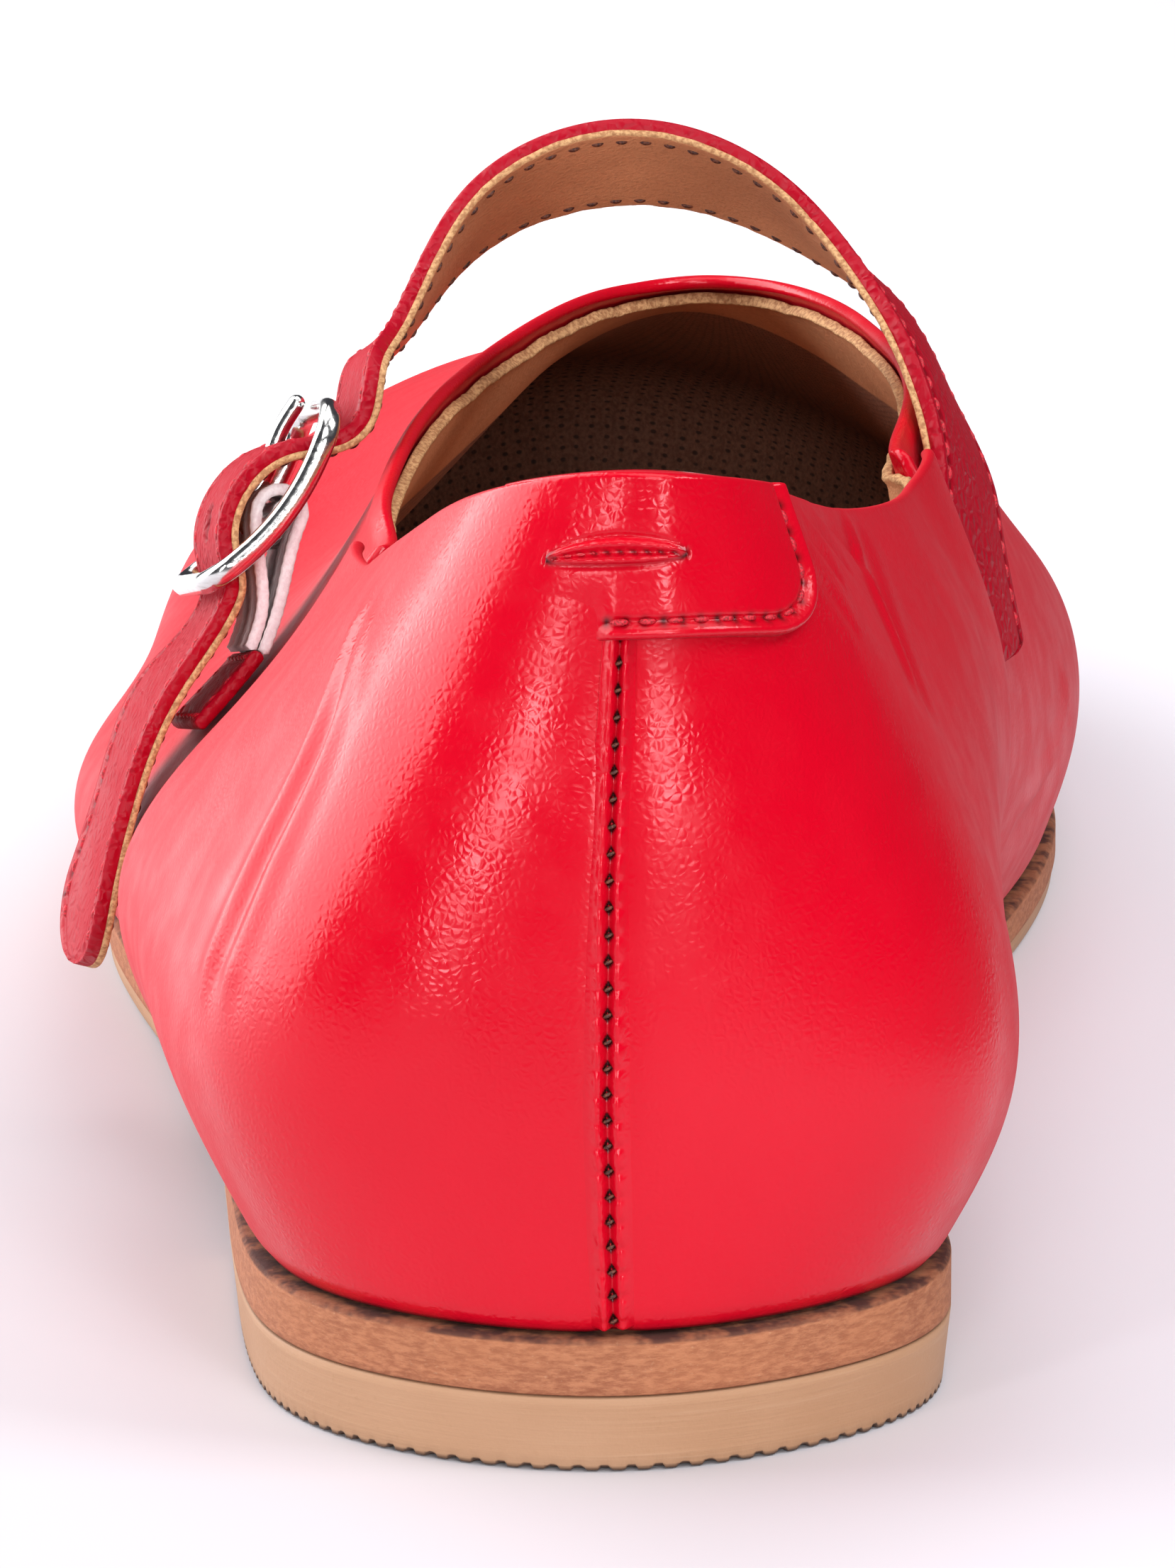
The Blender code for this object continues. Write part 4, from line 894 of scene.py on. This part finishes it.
def join_rims(outer, inner):
    """Bring the four edges of one grid down on those of the other."""
    for edge in (np.s_[:, [0, -1]], np.s_[[0, -1]]):
        outer[edge] = inner[edge]


def stitches(name, path, normal, pitch, length, radius, finish):
    """Row of threads along a path: each a rod with pointed ends that lies in the leather,
    its length along the path."""
    run = run_of(path)
    at = np.arange(0.5 * pitch, run[-1] - 0.3 * pitch, pitch)

    def follow(values, where):
        return np.stack([np.interp(where, run, values[:, k]) for k in range(3)], axis=1)

    along = unit(follow(path, at + 0.2) - follow(path, at - 0.2))
    up = follow(normal, at)
    up = unit(up - along * (up * along).sum(-1, keepdims=True))
    station = np.linspace(-1, 1, 7)[:, None, None]
    turn = 2 * pi * np.arange(6)[:, None] / 6
    centre, along, side, up = (v[:, None, None] for v in
                               (follow(path, at), along, np.cross(along, up), up))
    ring = (np.cos(turn) * side + np.sin(turn) * up) * radius * np.sqrt(1 - station ** 2) ** 0.7
    threads = centre + along * station * length / 2 - up * radius * 0.8 * station ** 2 + ring
    make_piece(name, threads[0], finish, more=threads[1:])


def build_back_seam():
    """Raised seam down the back: two rolled lips drawn together by a zigzag of thread."""
    across = np.linspace(-SEAM_HALF, SEAM_HALF, 56)
    up = np.linspace(0.2, SEAM_TOP, 340)[:, None]
    middle = seam_line(up) + 0.10 * uneven(up, 4, 16.0)
    around = (middle + across * 1.06) / PERIMETER
    height = wall_height(0.0)
    point, normal, _ = frame_of(around, np.broadcast_to(up / height, around.shape))
    knot = np.abs(np.mod(up / SEAM_PITCH, 1.0) - 0.5) * SEAM_PITCH
    tight = bump(knot, 0.0, 0.42)
    gentle = 1 + 0.18 * uneven(up, 7, 5.0)
    left = (0.54 * gentle - 0.18 * tight) * bump(across, 0.66, 0.34)
    right = (0.36 * gentle - 0.20 * tight) * bump(across, -0.68, 0.38)
    groove = 0.34 * bump(across, GROOVE, 0.22) + 0.30 * tight * bump(across, GROOVE, 0.30)
    fade = smooth(SEAM_HALF - 0.02, 1.0, np.abs(across))
    tuck = TUCK * (1 - smooth(0, 2.0, up)) ** 2
    ridge = (left + right - groove + 0.12) * fade - 0.22 * (1 - fade)
    outer, inner = off(point, normal, ridge - 0.02 - tuck), off(point, normal, -0.75 - tuck)
    join_rims(outer, inner)
    # painted shade in the groove and in the dark pits where the zigzag's stitches go in
    diamond = smooth(1.0, 0.75, np.abs(across - GROOVE) / 0.46 + knot / 0.72)
    shade = np.clip(0.22 * bump(across, GROOVE, 0.16) + diamond, 0, 1)
    sheet("back_seam", outer, inner, CALF, marks={"recess_shade": (shade, 0)})
    knots = np.arange(0.5, SEAM_TOP / SEAM_PITCH) * SEAM_PITCH
    around = (np.interp(knots, up[:, 0], middle[:, 0]) + GROOVE) / PERIMETER
    point, normal, upward = frame_of(around, knots / height)
    axis = unit(np.cross(upward, normal) + 0.55 * upward)
    point, axis, other, normal = (v[:, None, None] for v in
                                  (point, axis, np.cross(normal, axis), normal))
    turn = np.linspace(0, pi, 7)[:, None, None]
    ring = 2 * pi * np.arange(8)[:, None] / 8
    beads = (point + np.sin(turn) * (np.cos(ring) * other + np.sin(ring) * normal) * 0.16
             + np.cos(turn) * axis * 0.36)
    make_piece("back_seam_thread", beads[0], DARK_THREAD, more=beads[1:])


# ---------------- buckle
BUCKLE_AT = np.array([-23.9, 102.8, 49.7])       # middle of the centre bar
DOWN = unit(np.array([-0.60, -0.29, -0.745]))    # along the strap, towards its tip
ACROSS = np.array([-0.12, 0.955, -0.27])         # from the rear to the front side bar
ACROSS = unit(ACROSS - DOWN * (DOWN @ ACROSS))
OUT = np.cross(ACROSS, DOWN)                     # away from the foot
RING_HALF = np.array([9.2, 9.4])      # half length and half width
RING_CORNER = 2.8
RING_BOW = 1.9
RING_SHORT = 0.92         # the ring's lower end is this much nearer the centre bar
WIRE = (0.76, 0.95)       # half width and half height of the ring's wire
BAR = 0.95                # radius of the centre bar
PRONG = 0.72
HOOK = 2.2                # the prong's hook stands this far off the bar's middle
PRONG_REACH = ((-3.2, 2.5), (-5.0, 3.2), (-6.9, 3.6), (-8.6, 3.7))


def at_buckle(down, out, across=0.0):
    """Point given by its distances from the middle of the centre bar."""
    down, out, across = np.broadcast_arrays(down, out, across)
    return BUCKLE_AT + down[..., None] * DOWN + out[..., None] * OUT + across[..., None] * ACROSS


def wire(path, half_width, half_height, closed=False, sides=20, power=1.0):
    """Bar along a path; its section is a rounded oval, its open ends round off to a point."""
    if closed:
        along = unit(np.roll(path, -1, axis=0) - np.roll(path, 1, axis=0))
        body, slide = np.ones(len(path)), np.zeros(len(path))
    else:
        path, along = (np.pad(v, [(5, 5), (0, 0)], mode="edge")
                       for v in (path, unit(np.gradient(path, axis=0))))
        body, slide = np.ones(len(path)), np.zeros(len(path))
        body[:6], body[-6:] = np.sin(END_TURN), np.sin(END_TURN[::-1])
        slide[:6], slide[-6:] = -np.cos(END_TURN), np.cos(END_TURN[::-1])
    side = unit(np.cross(along, OUT + 0.01 * DOWN))
    up = np.cross(side, along)
    angle = 2 * pi * np.arange(sides) / sides
    x, y = (np.sign(v) * np.abs(v) ** power * half for v, half in
            ((np.cos(angle), half_width), (np.sin(angle), half_height)))
    ring = x[:, None] * side[:, None] + y[:, None] * up[:, None]
    return (path + (slide * half_width)[:, None] * along)[:, None] + ring * body[:, None, None]


def build_buckle():
    """Bowed ring with its centre bar, and the prong hooked round the bar."""
    turn = np.linspace(0, pi / 2, 15)
    straight = np.linspace(-1, 1, 15)[1:-1]
    length, width = RING_HALF
    long_half, wide_half = RING_HALF - RING_CORNER
    corner = np.column_stack([long_half + RING_CORNER * np.sin(turn),
                              wide_half + RING_CORNER * np.cos(turn)])
    long_side = np.column_stack([np.full(13, length), wide_half * straight])
    short_side = np.column_stack([long_half * straight, np.full(13, width)])
    loop = np.concatenate([short_side, corner, long_side[::-1], corner[::-1] * (1, -1),
                           short_side[::-1] * (1, -1), corner * (-1, -1), long_side * (-1, 1),
                           corner[::-1] * (-1, 1)])
    loop = loop * np.where(loop[:, :1] > 0, (RING_SHORT, 1), (1, 1))
    path = at_buckle(loop[:, 0], RING_BOW * (loop[:, 0] / length) ** 2, loop[:, 1])
    bar = at_buckle(0, 0, np.linspace(0.3 - width, width - 0.3, 12))
    make_piece("buckle_ring", wire(path, *WIRE, closed=True, power=0.8), METAL, ("buckle_frame",),
               wrap_rows=True, more=[wire(bar, BAR, BAR)])
    turn = np.radians(np.linspace(-150, 100, 16))
    hook = HOOK * np.column_stack([np.cos(turn), np.sin(turn)])
    line = open_spline(np.concatenate([hook, PRONG_REACH]), np.linspace(0, 1, 70))
    make_piece("buckle_prong_wire", wire(at_buckle(*line.T), PRONG, PRONG, sides=16), METAL,
               ("buckle_prong",))


# ---------------- strap
STRAP_WIDTH = 15.4
STRAP_SIDE = STRAP_WIDTH / 2
INSTEP_STRAP = (
    # its rear edge x, y, z and its front edge x, y, z
    (34.4, 91.5, 38.6, 36.2, 106.5, 36.0),        # sewn base
    (33.2, 94.0, 46.6, 34.6, 108.8, 43.6),
    (31.0, 98.5, 54.4, 32.6, 112.6, 50.4),
    (27.9, 105.0, 62.8, 29.2, 118.8, 58.4),       # leaves the upper
    (24.3, 112.0, 68.1, 25.2, 126.0, 62.8),
    (19.0, 117.6, 73.2, 19.4, 130.2, 66.4),
    (6.6, 119.6, 78.0, 7.0, 131.6, 69.4),         # over the instep
    (-6.6, 117.0, 73.4, -6.6, 129.4, 65.3),
    (-9.9, 113.4, 69.6, -10.3, 126.8, 61.8),
    (-13.3, 107.0, 64.4, -14.2, 121.4, 58.6),     # drops to the buckle
)
# Down and out from the centre bar: under the upper bar, over the centre bar, under the lower.
BUCKLE_STRAP = (
    (-13.4, 0.5), (-9.4, -1.0), (-7.0, 0.0), (-5.0, 2.0), (-2.4, 3.5), (0.6, 3.8), (3.6, 2.9),
    (5.6, 1.2), (6.9, -0.3), (9.4, -1.2),
)
TAIL_STRAP = (
    (-31.4, 90.4, 38.2, -34.0, 105.4, 35.0),
    (-34.2, 87.2, 28.8, -37.6, 102.2, 27.0),
    (-38.0, 84.5, 14.8, -42.1, 99.5, 14.5),
)
BASE_SHARE = 0.12         # share of the strap that lies sewn on the upper
BASE_BLEND = 0.04
BASE_CLEAR = 1.45         # middle of the sewn base above the upper
STRAP_EVEN = 3            # rows over which a move off the upper is spread
TAIL_POINT = 6.5          # length over which the tip comes to its point
USED_HOLE = 5.0           # the prong's hole above the centre bar
USED_HOLE_TO_NEXT = 9.0
HOLE_RADIUS = 1.45
HOLE_DEPTH = 0.75
STRAP_HALF = 0.85         # half the strap's thickness
STRAP_STITCH = 1.35       # its stitch rows run this far inside its edges
STITCH_PITCH = 2.0
STITCH_ENDS = (0.012, 0.985)      # shares of the strap between which it is stitched
# Places across the strap's half, as shares, close together at the stitch row and the holes.
STRAP_STATIONS = (-0.93, -0.89, -0.86, -0.825, -0.79, -0.76, -0.72, -0.65, -0.52, -0.39, -0.285,
                  -0.195, -0.115, -0.04)
FACE = 2 * len(STRAP_STATIONS)    # columns of a strap layer's face


def upper_samples():
    """Points and normals over the outside of the upper, for laying things on it."""
    around, rise = np.meshgrid(np.arange(360) / 360, np.linspace(0, 1, 46), indexing="ij")
    point, normal, _ = frame_of(around, rise)
    lifted = off(point, normal, lap_step(around, rise) - fold_depth(around, rise))
    return lifted.reshape(-1, 3), normal.reshape(-1, 3)


SKIN_POINTS, SKIN_NORMALS = upper_samples()


def soften(values, reach):
    """Even out values along the rows of a grid with a bell of half width `reach` rows."""
    weights = bump(np.arange(-3 * reach, 3 * reach + 1), 0, reach)
    padded = np.pad(values, [(3 * reach, 3 * reach)] + [(0, 0)] * (values.ndim - 1), mode="edge")
    return sum(w * padded[k:k + len(values)] for k, w in enumerate(weights)) / weights.sum()


def settle(points, least, most=None, reach=0):
    """Points moved along the nearest outward normal to stand least..most off the upper;
    with no `most`, those that already lie clear of it stay where they are.  With a
    `reach`, neighbouring rows share the widest move near them, so the sheet stays even."""
    flat = points.reshape(-1, 3)
    gap = (flat ** 2).sum(1)[:, None] + (SKIN_POINTS ** 2).sum(1)[None] - 2 * flat @ SKIN_POINTS.T
    near = gap.argmin(1)
    distance = np.sqrt(np.maximum(gap[np.arange(len(flat)), near], 0))
    height = ((flat - SKIN_POINTS[near]) * SKIN_NORMALS[near]).sum(1)
    if most is None:
        push = np.maximum(least - height, 0) * (1 - smooth(1.5 * least, 3 * least, distance))
    else:
        push = np.clip(height, least, most) - height
    push, way = push.reshape(points.shape[:-1]), SKIN_NORMALS[near].reshape(points.shape)
    if reach:
        if most is None:
            rows = np.pad(push, [(reach, reach), (0, 0)])
            push = np.max([rows[k:k + len(push)] for k in range(2 * reach + 1)], axis=0)
        push, way = soften(push, reach), unit(soften(way, reach))
    return off(points, way, push)


def strap_rows():
    """Middle of the strap as rows of five points from its rear to its front edge."""
    rows = [*INSTEP_STRAP, *(at_buckle(*place, np.array([-STRAP_SIDE, STRAP_SIDE])).ravel()
                             for place in BUCKLE_STRAP), *TAIL_STRAP]
    share = np.linspace(0, 1, 84)
    edges = open_spline(rows, share)
    centre = (edges[:, :3] + edges[:, 3:]) / 2
    toward = unit(edges[:, 3:] - edges[:, :3])
    middle = centre[:, None] + toward[:, None] * (np.linspace(-1, 1, 5) * STRAP_SIDE)[:, None]
    base = share < BASE_SHARE + BASE_BLEND
    hold = 1 - smooth(BASE_SHARE - BASE_BLEND, BASE_SHARE + BASE_BLEND, share[base])
    sewn = settle(middle[base], BASE_CLEAR, BASE_CLEAR, STRAP_EVEN)
    middle[base] += (sewn - middle[base]) * hold[:, None, None]
    return settle(middle, BASE_CLEAR, reach=STRAP_EVEN)


STRAP_ROWS = strap_rows()
STRAP_LENGTH = run_of(STRAP_ROWS[:, 2])[-1]


def strap_at(share, columns, reach=1.0):
    """Middle surface of the strap and its outward normal: a spline along its length, a
    quartic across it, evenly spaced from -reach (rear) to reach (front)."""
    rows = open_spline(STRAP_ROWS.reshape(-1, 15), share).reshape(-1, 5, 3)
    across, knots = np.linspace(-reach, reach, columns), np.linspace(-1, 1, 5)
    weights = np.ones((columns, 5))
    for k, m in np.argwhere(~np.eye(5, dtype=bool)):
        weights[:, k] *= (across - knots[m]) / (knots[k] - knots[m])
    points = np.einsum("mk,skc->smc", weights, rows)
    return points, grid_normal(points)


def tip(share):
    """Share of the strap's width that is left near its pointed tip."""
    return rounded((1 - share) * STRAP_LENGTH / TAIL_POINT, 1.7)


def profile(flat, face, half, edge_round, thick):
    """Flat-topped section with rounded edges, once round: places across and out."""
    turn = np.linspace(pi / 2, -pi / 2, 9)
    edge = half - edge_round + edge_round * np.cos(turn)
    return (np.concatenate([flat, edge, flat[::-1], -edge[::-1]]),
            np.concatenate([face, thick * np.sin(turn), -face[::-1], thick * np.sin(turn[::-1])]))


def band(low, high, edge_round, rear=0.0, front=0.0, tuck=0.0):
    """Grid of a strap layer from `low` to `high` off the middle: a flat-topped profile with
    round edges carried along the strap; `rear` and `front` move its two edges in, `tuck`
    presses it at the stitches.  Gives the places along and across the strap as well."""
    share = np.linspace(0, 1, 760)[:, None]
    mid, thick = (low + high) / 2, (high - low) / 2
    flat = STRAP_SIDE * np.array([*STRAP_STATIONS, *[-x for x in STRAP_STATIONS[::-1]]])
    x, z = profile(flat, np.full(FACE, thick), STRAP_SIDE, edge_round, thick)
    shrink = tip(share) * rounded(share * STRAP_LENGTH / 1.2)
    across = x / STRAP_SIDE * (1 - np.where(x > 0, front, rear) / STRAP_SIDE) * shrink
    cells, reach = 60, 1.06
    surface, normal = strap_at(share[:, 0], cells + 1, reach)
    spot_index = (across + reach) / (2 * reach) * cells
    k = np.clip(spot_index.astype(int), 0, cells - 1)
    row, part = np.arange(len(share))[:, None], (spot_index - k)[..., None]
    points, out = (v[row, k] * (1 - part) + v[row, k + 1] * part for v in (surface, normal))
    press = tuck * bump((STRAP_SIDE - np.abs(x)) * shrink, STRAP_STITCH, 0.35) * (z > 0.9 * thick)
    return off(points, unit(out), mid + z - press), share * STRAP_LENGTH, across


def strap_line(inset, out):
    """Path along the strap, `inset` mm from its rear (+) or front (-) edge, and its normals."""
    share = np.linspace(*STITCH_ENDS, 700)
    across = -np.sign(inset) * np.maximum(STRAP_SIDE * tip(share) - abs(inset), 0) / STRAP_SIDE
    surface, normal = strap_at(share, 41)
    k = np.clip(((across + 1) * 20).round().astype(int), 0, 40)
    row = np.arange(len(share))
    fine = (across - (k / 20 - 1)) * STRAP_SIDE
    sideways = unit(surface[:, -1] - surface[:, 0])
    return off(surface[row, k], sideways, fine) + normal[row, k] * out, normal[row, k]


def build_strap():
    """Red outside, tan lining cut raw and a little uneven, stitched along both edges."""
    top, run, across = band(-0.52, STRAP_HALF, 0.30, tuck=0.22)
    centre = strap_at(run[:, 0] / STRAP_LENGTH, 41)[0][:, 20]
    used = run[np.abs((centre - BUCKLE_AT) @ DOWN + USED_HOLE).argmin()]
    # the buckle holes are sunk and painted dark, painted shade for their openings; below, the
    # needle holes get painted shade too
    recess_shade = np.zeros(across.shape)
    for where in (used, used + USED_HOLE_TO_NEXT):
        away = np.hypot(run - where, across * STRAP_SIDE)
        recess_shade = np.maximum(recess_shade, smooth(HOLE_RADIUS + 0.2, HOLE_RADIUS - 0.2, away))
    sunk = HOLE_DEPTH * recess_shade[..., None] * grid_normal(top)
    top[1:-1, :FACE] -= sunk[1:-1, :FACE]
    for inset in (STRAP_STITCH, -STRAP_STITCH):       # needle holes between the stitches
        length = run_of(strap_line(inset, STRAP_HALF)[0])
        stitched = np.linspace(*STITCH_ENDS, len(length)) * STRAP_LENGTH
        holes = np.interp(run, stitched, length)
        from_hole = np.abs(np.mod(holes / STITCH_PITCH + 0.5, 1.0) - 0.5) * STITCH_PITCH
        from_row = STRAP_SIDE * (1 - np.abs(across)) - STRAP_STITCH
        prick = bump(np.hypot(from_hole, from_row * 1.3), 0, 0.42) * (across * inset < 0)
        recess_shade[:, :FACE] = np.maximum(recess_shade, 0.9 * prick)[:, :FACE]
    rim = np.zeros(across.shape)
    rim[:, FACE + 2:FACE + 9] = rim[:, -7:] = 0.10
    make_piece("strap_leather", top, STRAP_CALF, ("strap",),
               marks={"recess_shade": recess_shade * 0.95, "edge": rim})
    ragged_front = -0.10 - 0.20 * uneven(run, 11, 5.2) - 0.10 * uneven(run, 12, 1.7)
    ragged_rear = -0.16 - 0.14 * uneven(run, 13, 5.4) - 0.09 * uneven(run, 14, 1.5)
    lining, _, across = band(-STRAP_HALF, -0.26, 0.22, ragged_rear, ragged_front)
    raw = np.zeros(across.shape)
    raw[:, [0, *range(FACE - 1, FACE + 7), *range(-7, 0)]] = 1.0
    raw[:, [FACE + 7, -8]] = 0.5
    run_uv = np.stack([np.broadcast_to(run, across.shape), across * STRAP_SIDE], axis=-1)
    make_piece("strap_lining", lining, TAN, ("strap",), marks={"raw": raw},
               uv=run_uv)
    for name, inset in (("rear", STRAP_STITCH), ("front", -STRAP_STITCH)):
        path, normal = strap_line(inset, STRAP_HALF - 0.10)
        stitches("strap_stitches_" + name, path, normal, STITCH_PITCH, 1.45, 0.24, RED_THREAD)
        path, normal = strap_line(inset * 0.92, -STRAP_HALF - 0.02)
        stitches("strap_stitches_inside_" + name, path, -normal, STITCH_PITCH, 1.25, 0.22,
                 DARK_THREAD)


# ---------------- elastic and its anchor
ELASTIC_WIDTH = 12.0
ELASTIC_THICK = 1.0
ELASTIC_FOOT = (9.2, -4.9)        # down and out from the centre bar, where its two layers meet
ANCHOR_LENGTH = 8.0
ANCHOR_WIDTH = ELASTIC_WIDTH + 2.0
ANCHOR_THICK = 1.2
ANCHOR_LIFT = 0.7


def build_elastic():
    """Band looped round the centre bar, its two layers running together to the anchor:
    a flat profile with lengthwise cords carried along a teardrop line."""
    thin, half = ELASTIC_THICK / 2, ELASTIC_WIDTH / 2
    turn = np.radians(np.linspace(60, 258, 40))
    hoop = (1.4 + thin) * np.column_stack([np.cos(turn), np.sin(turn)])
    foot = np.array(ELASTIC_FOOT)
    way = unit(foot - hoop[-1])
    side = np.array([-way[1], way[0]])
    apart = side * 0.55       # of the layers at the foot, from their middle
    line = np.concatenate([[foot + apart + way * 1.2, foot + side * 0.62 - way * 2.0], hoop,
                           [foot - apart - way * 3.0, foot - apart + way * 1.2]])
    count = 130
    line = open_spline(line, np.linspace(0, 1, count))
    along = unit(np.gradient(line, axis=0))
    flat = np.linspace(-1, 1, 62)[1:-1] * (half - 0.4)
    x, z = profile(flat, thin - 0.10 + 0.07 * np.cos(2 * pi * flat / 0.9), half, 0.4, thin)
    crimp = 1 + 0.05 * np.sin(2 * pi * np.arange(count) / 4.0)
    crimp[[0, -1]] = 0.0
    height = z * crimp[:, None]
    x = np.broadcast_to(x, height.shape)
    grid = at_buckle(line[:, :1] - along[:, 1:] * height, line[:, 1:] + along[:, :1] * height, x)
    uv = np.stack([x, np.broadcast_to(run_of(line)[:, None], x.shape)], axis=-1)
    make_piece("elastic_band", grid, ELASTIC, ("elastic_loop",),
               marks={"face": np.abs(x) < half - 0.2}, uv=uv)


def build_anchor():
    """Leather strip on the vamp that the elastic is sewn to, its cut edges rounded."""
    rows, columns, spread = 60, 70, 4
    down = ELASTIC_FOOT[0] + 0.9 + np.linspace(0, ANCHOR_LENGTH + 0.3, rows)[:, None]
    across = np.linspace(-1, 1, columns) * ANCHOR_WIDTH / 2
    middle = settle(at_buckle(down, ELASTIC_FOOT[1] - 0.3, across), ANCHOR_LIFT, ANCHOR_LIFT)
    for _ in range(2):        # even it out along the rows, then along the columns
        padded = np.pad(middle, [(spread, spread), (0, 0), (0, 0)], mode="edge")
        middle = sum(padded[k:k + len(middle)] for k in range(2 * spread + 1)) / (2 * spread + 1)
        middle = middle.swapaxes(0, 1)
    normal = grid_normal(middle)
    normal *= np.sign((normal[rows // 2, columns // 2] * OUT).sum())
    i, j = np.arange(rows)[:, None], np.arange(columns)
    rim = np.minimum(np.minimum(i, i[::-1]) * (ANCHOR_LENGTH / rows),
                     np.minimum(j, j[::-1]) * (ANCHOR_WIDTH / columns))
    body, press = rounded(rim / 0.6), 0.15 * bump(rim, 1.3, 0.3)
    half = ANCHOR_THICK / 2
    outer = off(middle, normal, half + (half - press) * body)
    edge = 0.12 * (rim < 0.3)
    sheet("anchor_leather", outer, off(middle, normal, half - 0.6 * body), STRAP_CALF,
          ("strap_anchor",), marks={"edge": (edge, edge)})
    inset = 7                 # rows and columns from the edge to the stitches
    path, ways = (np.concatenate([v[inset, inset:-inset], v[inset:-inset, -inset],
                                  v[-inset, inset:-inset][::-1], v[inset:-inset, inset][::-1]])
                  for v in (outer, normal))
    stitches("anchor_stitches", path, ways, 2.0, 1.4, 0.24, RED_THREAD)


build_heel_tab()
build_back_seam()
build_buckle()
build_strap()
build_elastic()
build_anchor()

# ---------------- camera, light and floor
HEART = (0.0, -0.05, 0.04)        # what the lamps look at
SOFTBOXES = (
    # name, place, width, height, power
    ("box_over", (0.15, 0.1, 2.2), 1.9, 1.9, 22),
    ("box_high", (0.35, -1.55, 1.45), 0.9, 0.7, 14),
    ("box_fill", (1.3, -0.5, 1.5), 0.7, 0.7, 16),
    ("box_behind", (-0.15, -2.1, 0.68), 0.7, 0.45, 9.5),
    ("box_left", (-0.37, -0.57, 0.165), 0.060, 0.26, 0.85),
    ("box_right", (0.185, -0.70, 0.185), 0.095, 0.27, 1.25),
    ("box_window", (-0.50, 0.18, 0.34), 0.80, 0.76, 7.5),
)


def put(name, data, where, at):
    """Place a lamp or a camera and turn it to look at a point."""
    thing = bpy.data.objects.new(name, data)
    thing.location = where
    thing.rotation_euler = (Vector(at) - thing.location).to_track_quat("-Z", "Y").to_euler()
    bpy.context.scene.collection.objects.link(thing)
    return thing


def build_stage():
    """Paper floor with painted light and shade: painted lighter ahead of the heel and towards the
    medial side, and painted dark shade far behind and beside the shoe; the lamps and the camera.
    """
    f = Finish("paper_white")
    paper_with_painted_light = f.mix(f.noise(6.0), (0.57, 0.555, 0.590), (0.59, 0.575, 0.610))
    axes = [f.add("SeparateXYZ", {0: f.at}, axis) for axis in (0, 1)]
    # painted light: the paper is painted lighter ahead of the heel and towards the medial side
    paper_with_painted_light = f.blend(axes[1], -0.06, 0.20, paper_with_painted_light, (0.90, 0.89, 0.91))
    paper_with_painted_light = f.blend(axes[0], 0.0, 0.05, paper_with_painted_light, (0.78, 0.76, 0.82))
    # painted shade: dark paper from about 40 mm behind the heel and about 25 mm beyond the medial
    # side
    shade = f.calc("MAXIMUM", f.ramp(axes[1], -0.38, -0.17, 1.0, 0.0), f.ramp(axes[0], 0.066, 0.18))
    mesh = bpy.data.meshes.new("floor_sheet")
    mesh.from_pydata([(x, y, -0.0001) for x, y in ((-6, -6), (6, -6), (6, 6), (-6, 6))],
                     [], [(0, 1, 2, 3)])
    mesh.materials.append(f.done(f.mix(shade, paper_with_painted_light, (0.12, 0.12, 0.13)), 0.7))
    floor = bpy.data.objects.new("floor_sheet", mesh)
    bpy.context.scene.collection.objects.link(floor)
    world = bpy.data.worlds.new("studio")
    world.use_nodes = True
    sky = world.node_tree.nodes["Background"].inputs
    sky[0].default_value, sky[1].default_value = (0.86, 0.86, 1.0, 1.0), 0.06
    bpy.context.scene.world = world
    for name, where, wide, high, power in SOFTBOXES:
        data = bpy.data.lights.new(name, "AREA")
        data.shape = "RECTANGLE"
        data.size, data.size_y, data.energy = wide, high, power
        put(name, data, where, HEART)
    bpy.context.scene.view_settings.view_transform = "Standard"
    camera = bpy.data.cameras.new("camera")
    camera.lens, camera.sensor_width = 385.0, 36.0
    camera.dof.use_dof = False
    camera.clip_start, camera.clip_end = 0.05, 30.0
    bpy.context.scene.camera = put("camera", camera, (-0.0487, -1.3571, 0.400),
                                   (-0.0015, -0.0480, 0.0330))


build_stage()
